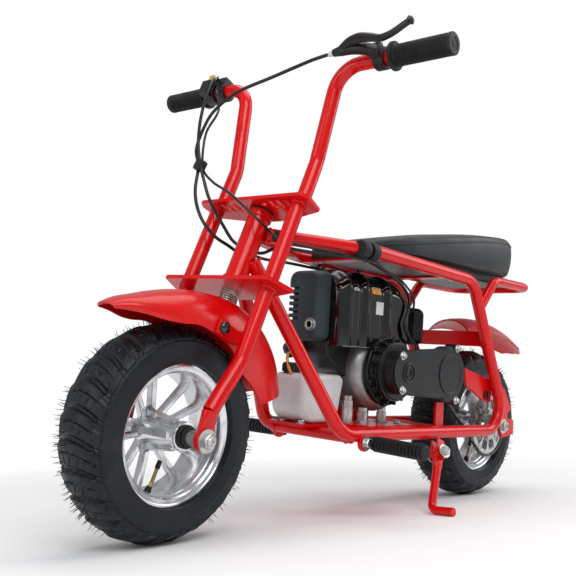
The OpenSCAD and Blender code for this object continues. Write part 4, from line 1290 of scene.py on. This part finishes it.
FENDER_T = 3
AXLE_AT = Vector((26.7, -241.7))
FENDER_SECTIONS = [
    (190, -130, 18, 9), (173, -114, 34, 21), (150, -98, 46, 33), (127, -82, 53, 41), (92, -62, 56.5, 47),
    (43, -44, 56.7, 62), (1, -36, 56.7, 75), (-39, -38, 56, 90), (-80, -50, 52, 94), (-118, -74, 47, 84),
    (-150, -112, 42, 66)]


def front_fender():
    sections = smooth_line(FENDER_SECTIONS, 4)
    angles = [math.radians(-90 + 180 * k / 40) for k in range(41)]
    boxy = lambda value: math.copysign(abs(value) ** 0.8, value)
    shape, edges = Shape(), ([], [])
    for x, s, width, drop in sections:
        down = (AXLE_AT - Vector((x, s))).normalized()
        ring = []
        for inside, turns in ((0, angles), (1, angles[::-1])):
            for a in turns:
                depth = inside * FENDER_T + (drop - inside * FENDER_T) * (1 - boxy(math.cos(a)))
                ring.append((x + down.x * depth, (width - inside * FENDER_T) * boxy(math.sin(a)), s + down.y * depth))
        shape.points += ring
        edges[0].append(Vector(ring[0]))
        edges[1].append(Vector(ring[40]))
    n = 2 * len(angles)
    for i in range(len(sections) - 1):
        shape.faces += [[i * n + j, (i + 1) * n + j, (i + 1) * n + (j + 1) % n, i * n + (j + 1) % n]
                        for j in range(n)]
    for start, flip in ((0, 1), ((len(sections) - 1) * n, -1)):
        shape.faces += [[start + k for k in (j, j + 1, n - 2 - j, n - 1 - j)][::flip] for j in range(40)]
    piece("front_fender_shell", shape, STEER, "red_plastic", "steering", smooth_angle=50, replaces=["front_fender"])


# The camera and the light

CAMERA_AT = (1.03066, 0.77709, 0.17019)
CAMERA_LOOKS_AT = (0.03746, -0.17281, 0.39209)
CAMERA_ROLL = 0.64
FOCAL_PIXELS = 758.36
SENSOR_MM = 36


def camera():
    at, target = Vector(CAMERA_AT), Vector(CAMERA_LOOKS_AT)
    ahead_of_camera = (target - at).normalized()
    level = ahead_of_camera.cross(Vector((0, 0, 1))).normalized()
    right = Matrix.Rotation(math.radians(CAMERA_ROLL), 3, ahead_of_camera) @ level
    above = right.cross(ahead_of_camera)
    data = bpy.data.cameras.new("camera")
    data.sensor_width = SENSOR_MM
    data.lens = FOCAL_PIXELS / PHOTO_PIXELS * SENSOR_MM
    data.clip_start = 0.02
    made = bpy.data.objects.new("camera", data)
    made.matrix_world = Matrix.Translation(at) @ Matrix((right, above, -ahead_of_camera)).transposed().to_4x4()
    bpy.context.scene.collection.objects.link(made)
    bpy.context.scene.camera = made


def softbox(name, at, towards, size, watts):
    data = bpy.data.lights.new(name, "AREA")
    data.shape = "RECTANGLE"
    data.size, data.size_y = size
    data.energy = watts
    made = bpy.data.objects.new(name, data)
    made.location = at
    made.rotation_euler = (Vector(towards) - Vector(at)).to_track_quat("-Z", "Y").to_euler()
    bpy.context.scene.collection.objects.link(made)


def white_room():
    """A pale floor that fades into a white background, which glass shows too; metal shows a dimmer pale ambient."""
    world = bpy.data.worlds.new("studio")
    bpy.context.scene.world = world
    world.use_nodes = True
    tree = world.node_tree
    path = tree.nodes.new("ShaderNodeLightPath")
    seen = tree.nodes.new("ShaderNodeMath")
    seen.operation = "MAXIMUM"
    tree.links.new(path.outputs["Is Camera Ray"], seen.inputs[0])
    tree.links.new(path.outputs["Is Transmission Ray"], seen.inputs[1])
    mix = tree.nodes.new("ShaderNodeMixShader")
    ambient, white = tree.nodes["Background"], tree.nodes.new("ShaderNodeBackground")
    ambient.inputs["Color"].default_value = (0.95, 0.97, 1, 1)
    ambient.inputs["Strength"].default_value = 0.42
    white.inputs["Color"].default_value = (1, 1, 1, 1)
    tree.links.new(seen.outputs["Value"], mix.inputs["Fac"])
    tree.links.new(ambient.outputs["Background"], mix.inputs[1])
    tree.links.new(white.outputs["Background"], mix.inputs[2])
    tree.links.new(mix.outputs["Shader"], tree.nodes["World Output"].inputs["Surface"])

    floor = Shape().lathe([(0, 0), (9000, 0)], steps=64)
    made = piece("floor", floor, Matrix.Scale(MM, 4), "white_label", None)
    made.data.materials.clear()
    made.data.materials.append(floor_paint())


def floor_paint():
    paint = Surface("floor_paint", (0.9, 0.9, 0.9), 0.8)
    distance = paint.node("ShaderNodeVectorMath", operation="LENGTH")
    paint.link(paint.place, distance.inputs[0])
    far = paint.ranged(distance.outputs["Value"], 0.75, 1.5)
    path = paint.node("ShaderNodeLightPath")
    share = paint.node("ShaderNodeMath", operation="MULTIPLY")
    paint.link(far, share.inputs[0])
    paint.link(path.outputs["Is Camera Ray"], share.inputs[1])
    glow = paint.node("ShaderNodeEmission")
    mix = paint.node("ShaderNodeMixShader")
    paint.link(share.outputs["Value"], mix.inputs["Fac"])
    paint.link(paint.shader.outputs["BSDF"], mix.inputs[1])
    paint.link(glow.outputs["Emission"], mix.inputs[2])
    paint.link(mix.outputs["Shader"], paint.tree.nodes["Material Output"].inputs["Surface"])
    return paint.material


NODE_SURFACES = {
    "red_paint": ["frame_loop_left", "frame_loop_right", "head_tube", "cross_members", "dropout_plates",
                  "engine_plate", "seat_hoop", "stand_bracket", "side_stand", "lower_plate", "upper_plate",
                  "fork_tubes", "handlebars"],
    "red_plastic": ["rear_fender", "front_fender"],
    "black_plastic": ["seat_pan", "brake_caliper", "clutch_housing", "reduction_case", "recoil_starter",
                      "air_filter", "fuel_cap", "brake_lever", "throttle_housing"],
    "gloss_black": ["engine_cowl"],
    "slate_plastic": ["muffler_guard"],
    "cast_alloy": ["engine_block", "fan_case"],
    "zinc_steel": ["rear_axle", "front_axle", "steering_stem", "brake_disc", "rear_sprocket", "drive_sprocket"],
    "chain_steel": ["drive_chain"],
    "tank_plastic": ["fuel_tank"],
    "tyre_rubber": ["front_tyre", "rear_tyre"],
    "polished_wheel": ["front_rim", "rear_rim"],
    "soft_rubber": ["foot_peg_left", "foot_peg_right", "grip_left", "grip_right"],
    "seat_vinyl": ["seat_cushion"],
}


def dress_nodes():
    for surface, names in NODE_SURFACES.items():
        for name in names:
            made = frame["nodes"][name]
            for slot in made.material_slots:
                slot.material = surfaces[surface]
            made.data.shade_smooth()
            made.data.set_sharp_from_angle(angle=math.radians(32))


def lights():
    softbox("key", (1.6, 2.2, 2.4), (0, 0, 0.35), (2.2, 1.6), 52)
    softbox("fill", (3.0, -0.6, 1.2), (0.1, 0, 0.35), (1.6, 2.0), 22)
    softbox("top", (-0.4, 0.2, 3.0), (0, 0, 0.3), (2.4, 2.4), 36)
    softbox("back", (-2.2, 1.4, 1.6), (-0.2, 0, 0.4), (1.4, 1.8), 20)


bpy.context.scene.view_settings.view_transform = "Standard"
camera()
white_room()
lights()
dress_nodes()
tyre("front_tyre_tread", FRONT, "front_wheel", "front_tyre", 3)
tyre("rear_tyre_tread", REAR, "rear_wheel", "rear_tyre", 8)
wheel("front_wheel", FRONT, "front_wheel", "front_rim", -40, 49)
wheel("rear_wheel", REAR, "rear_wheel", "rear_rim", -RIM_EDGE, RIM_EDGE - 4)
axles()
sprockets()
chain()
cowl()
guard()
reduction_case()
clutch()
tank()
starter()
crankcase()
intake()
welds()
stem()
upper_plate()
fork_legs()
bolts()
foot_peg("left_peg", 1, "foot_peg_left")
foot_peg("right_peg", -1, "foot_peg_right")
stand_bolt()
front_fender()
seat()
hand_grip("left_hand_grip", 1, "grip_left")
hand_grip("right_hand_grip", -1, "grip_right")
lever()
throttle()
cables()
strap("rail_strap_front", (462, 84, 429), (1, 0.02, 0.04), 14.5, 17)
strap("rail_strap_rear", (440, 85, 428), (1, 0.02, 0.04), 14.5, 17)
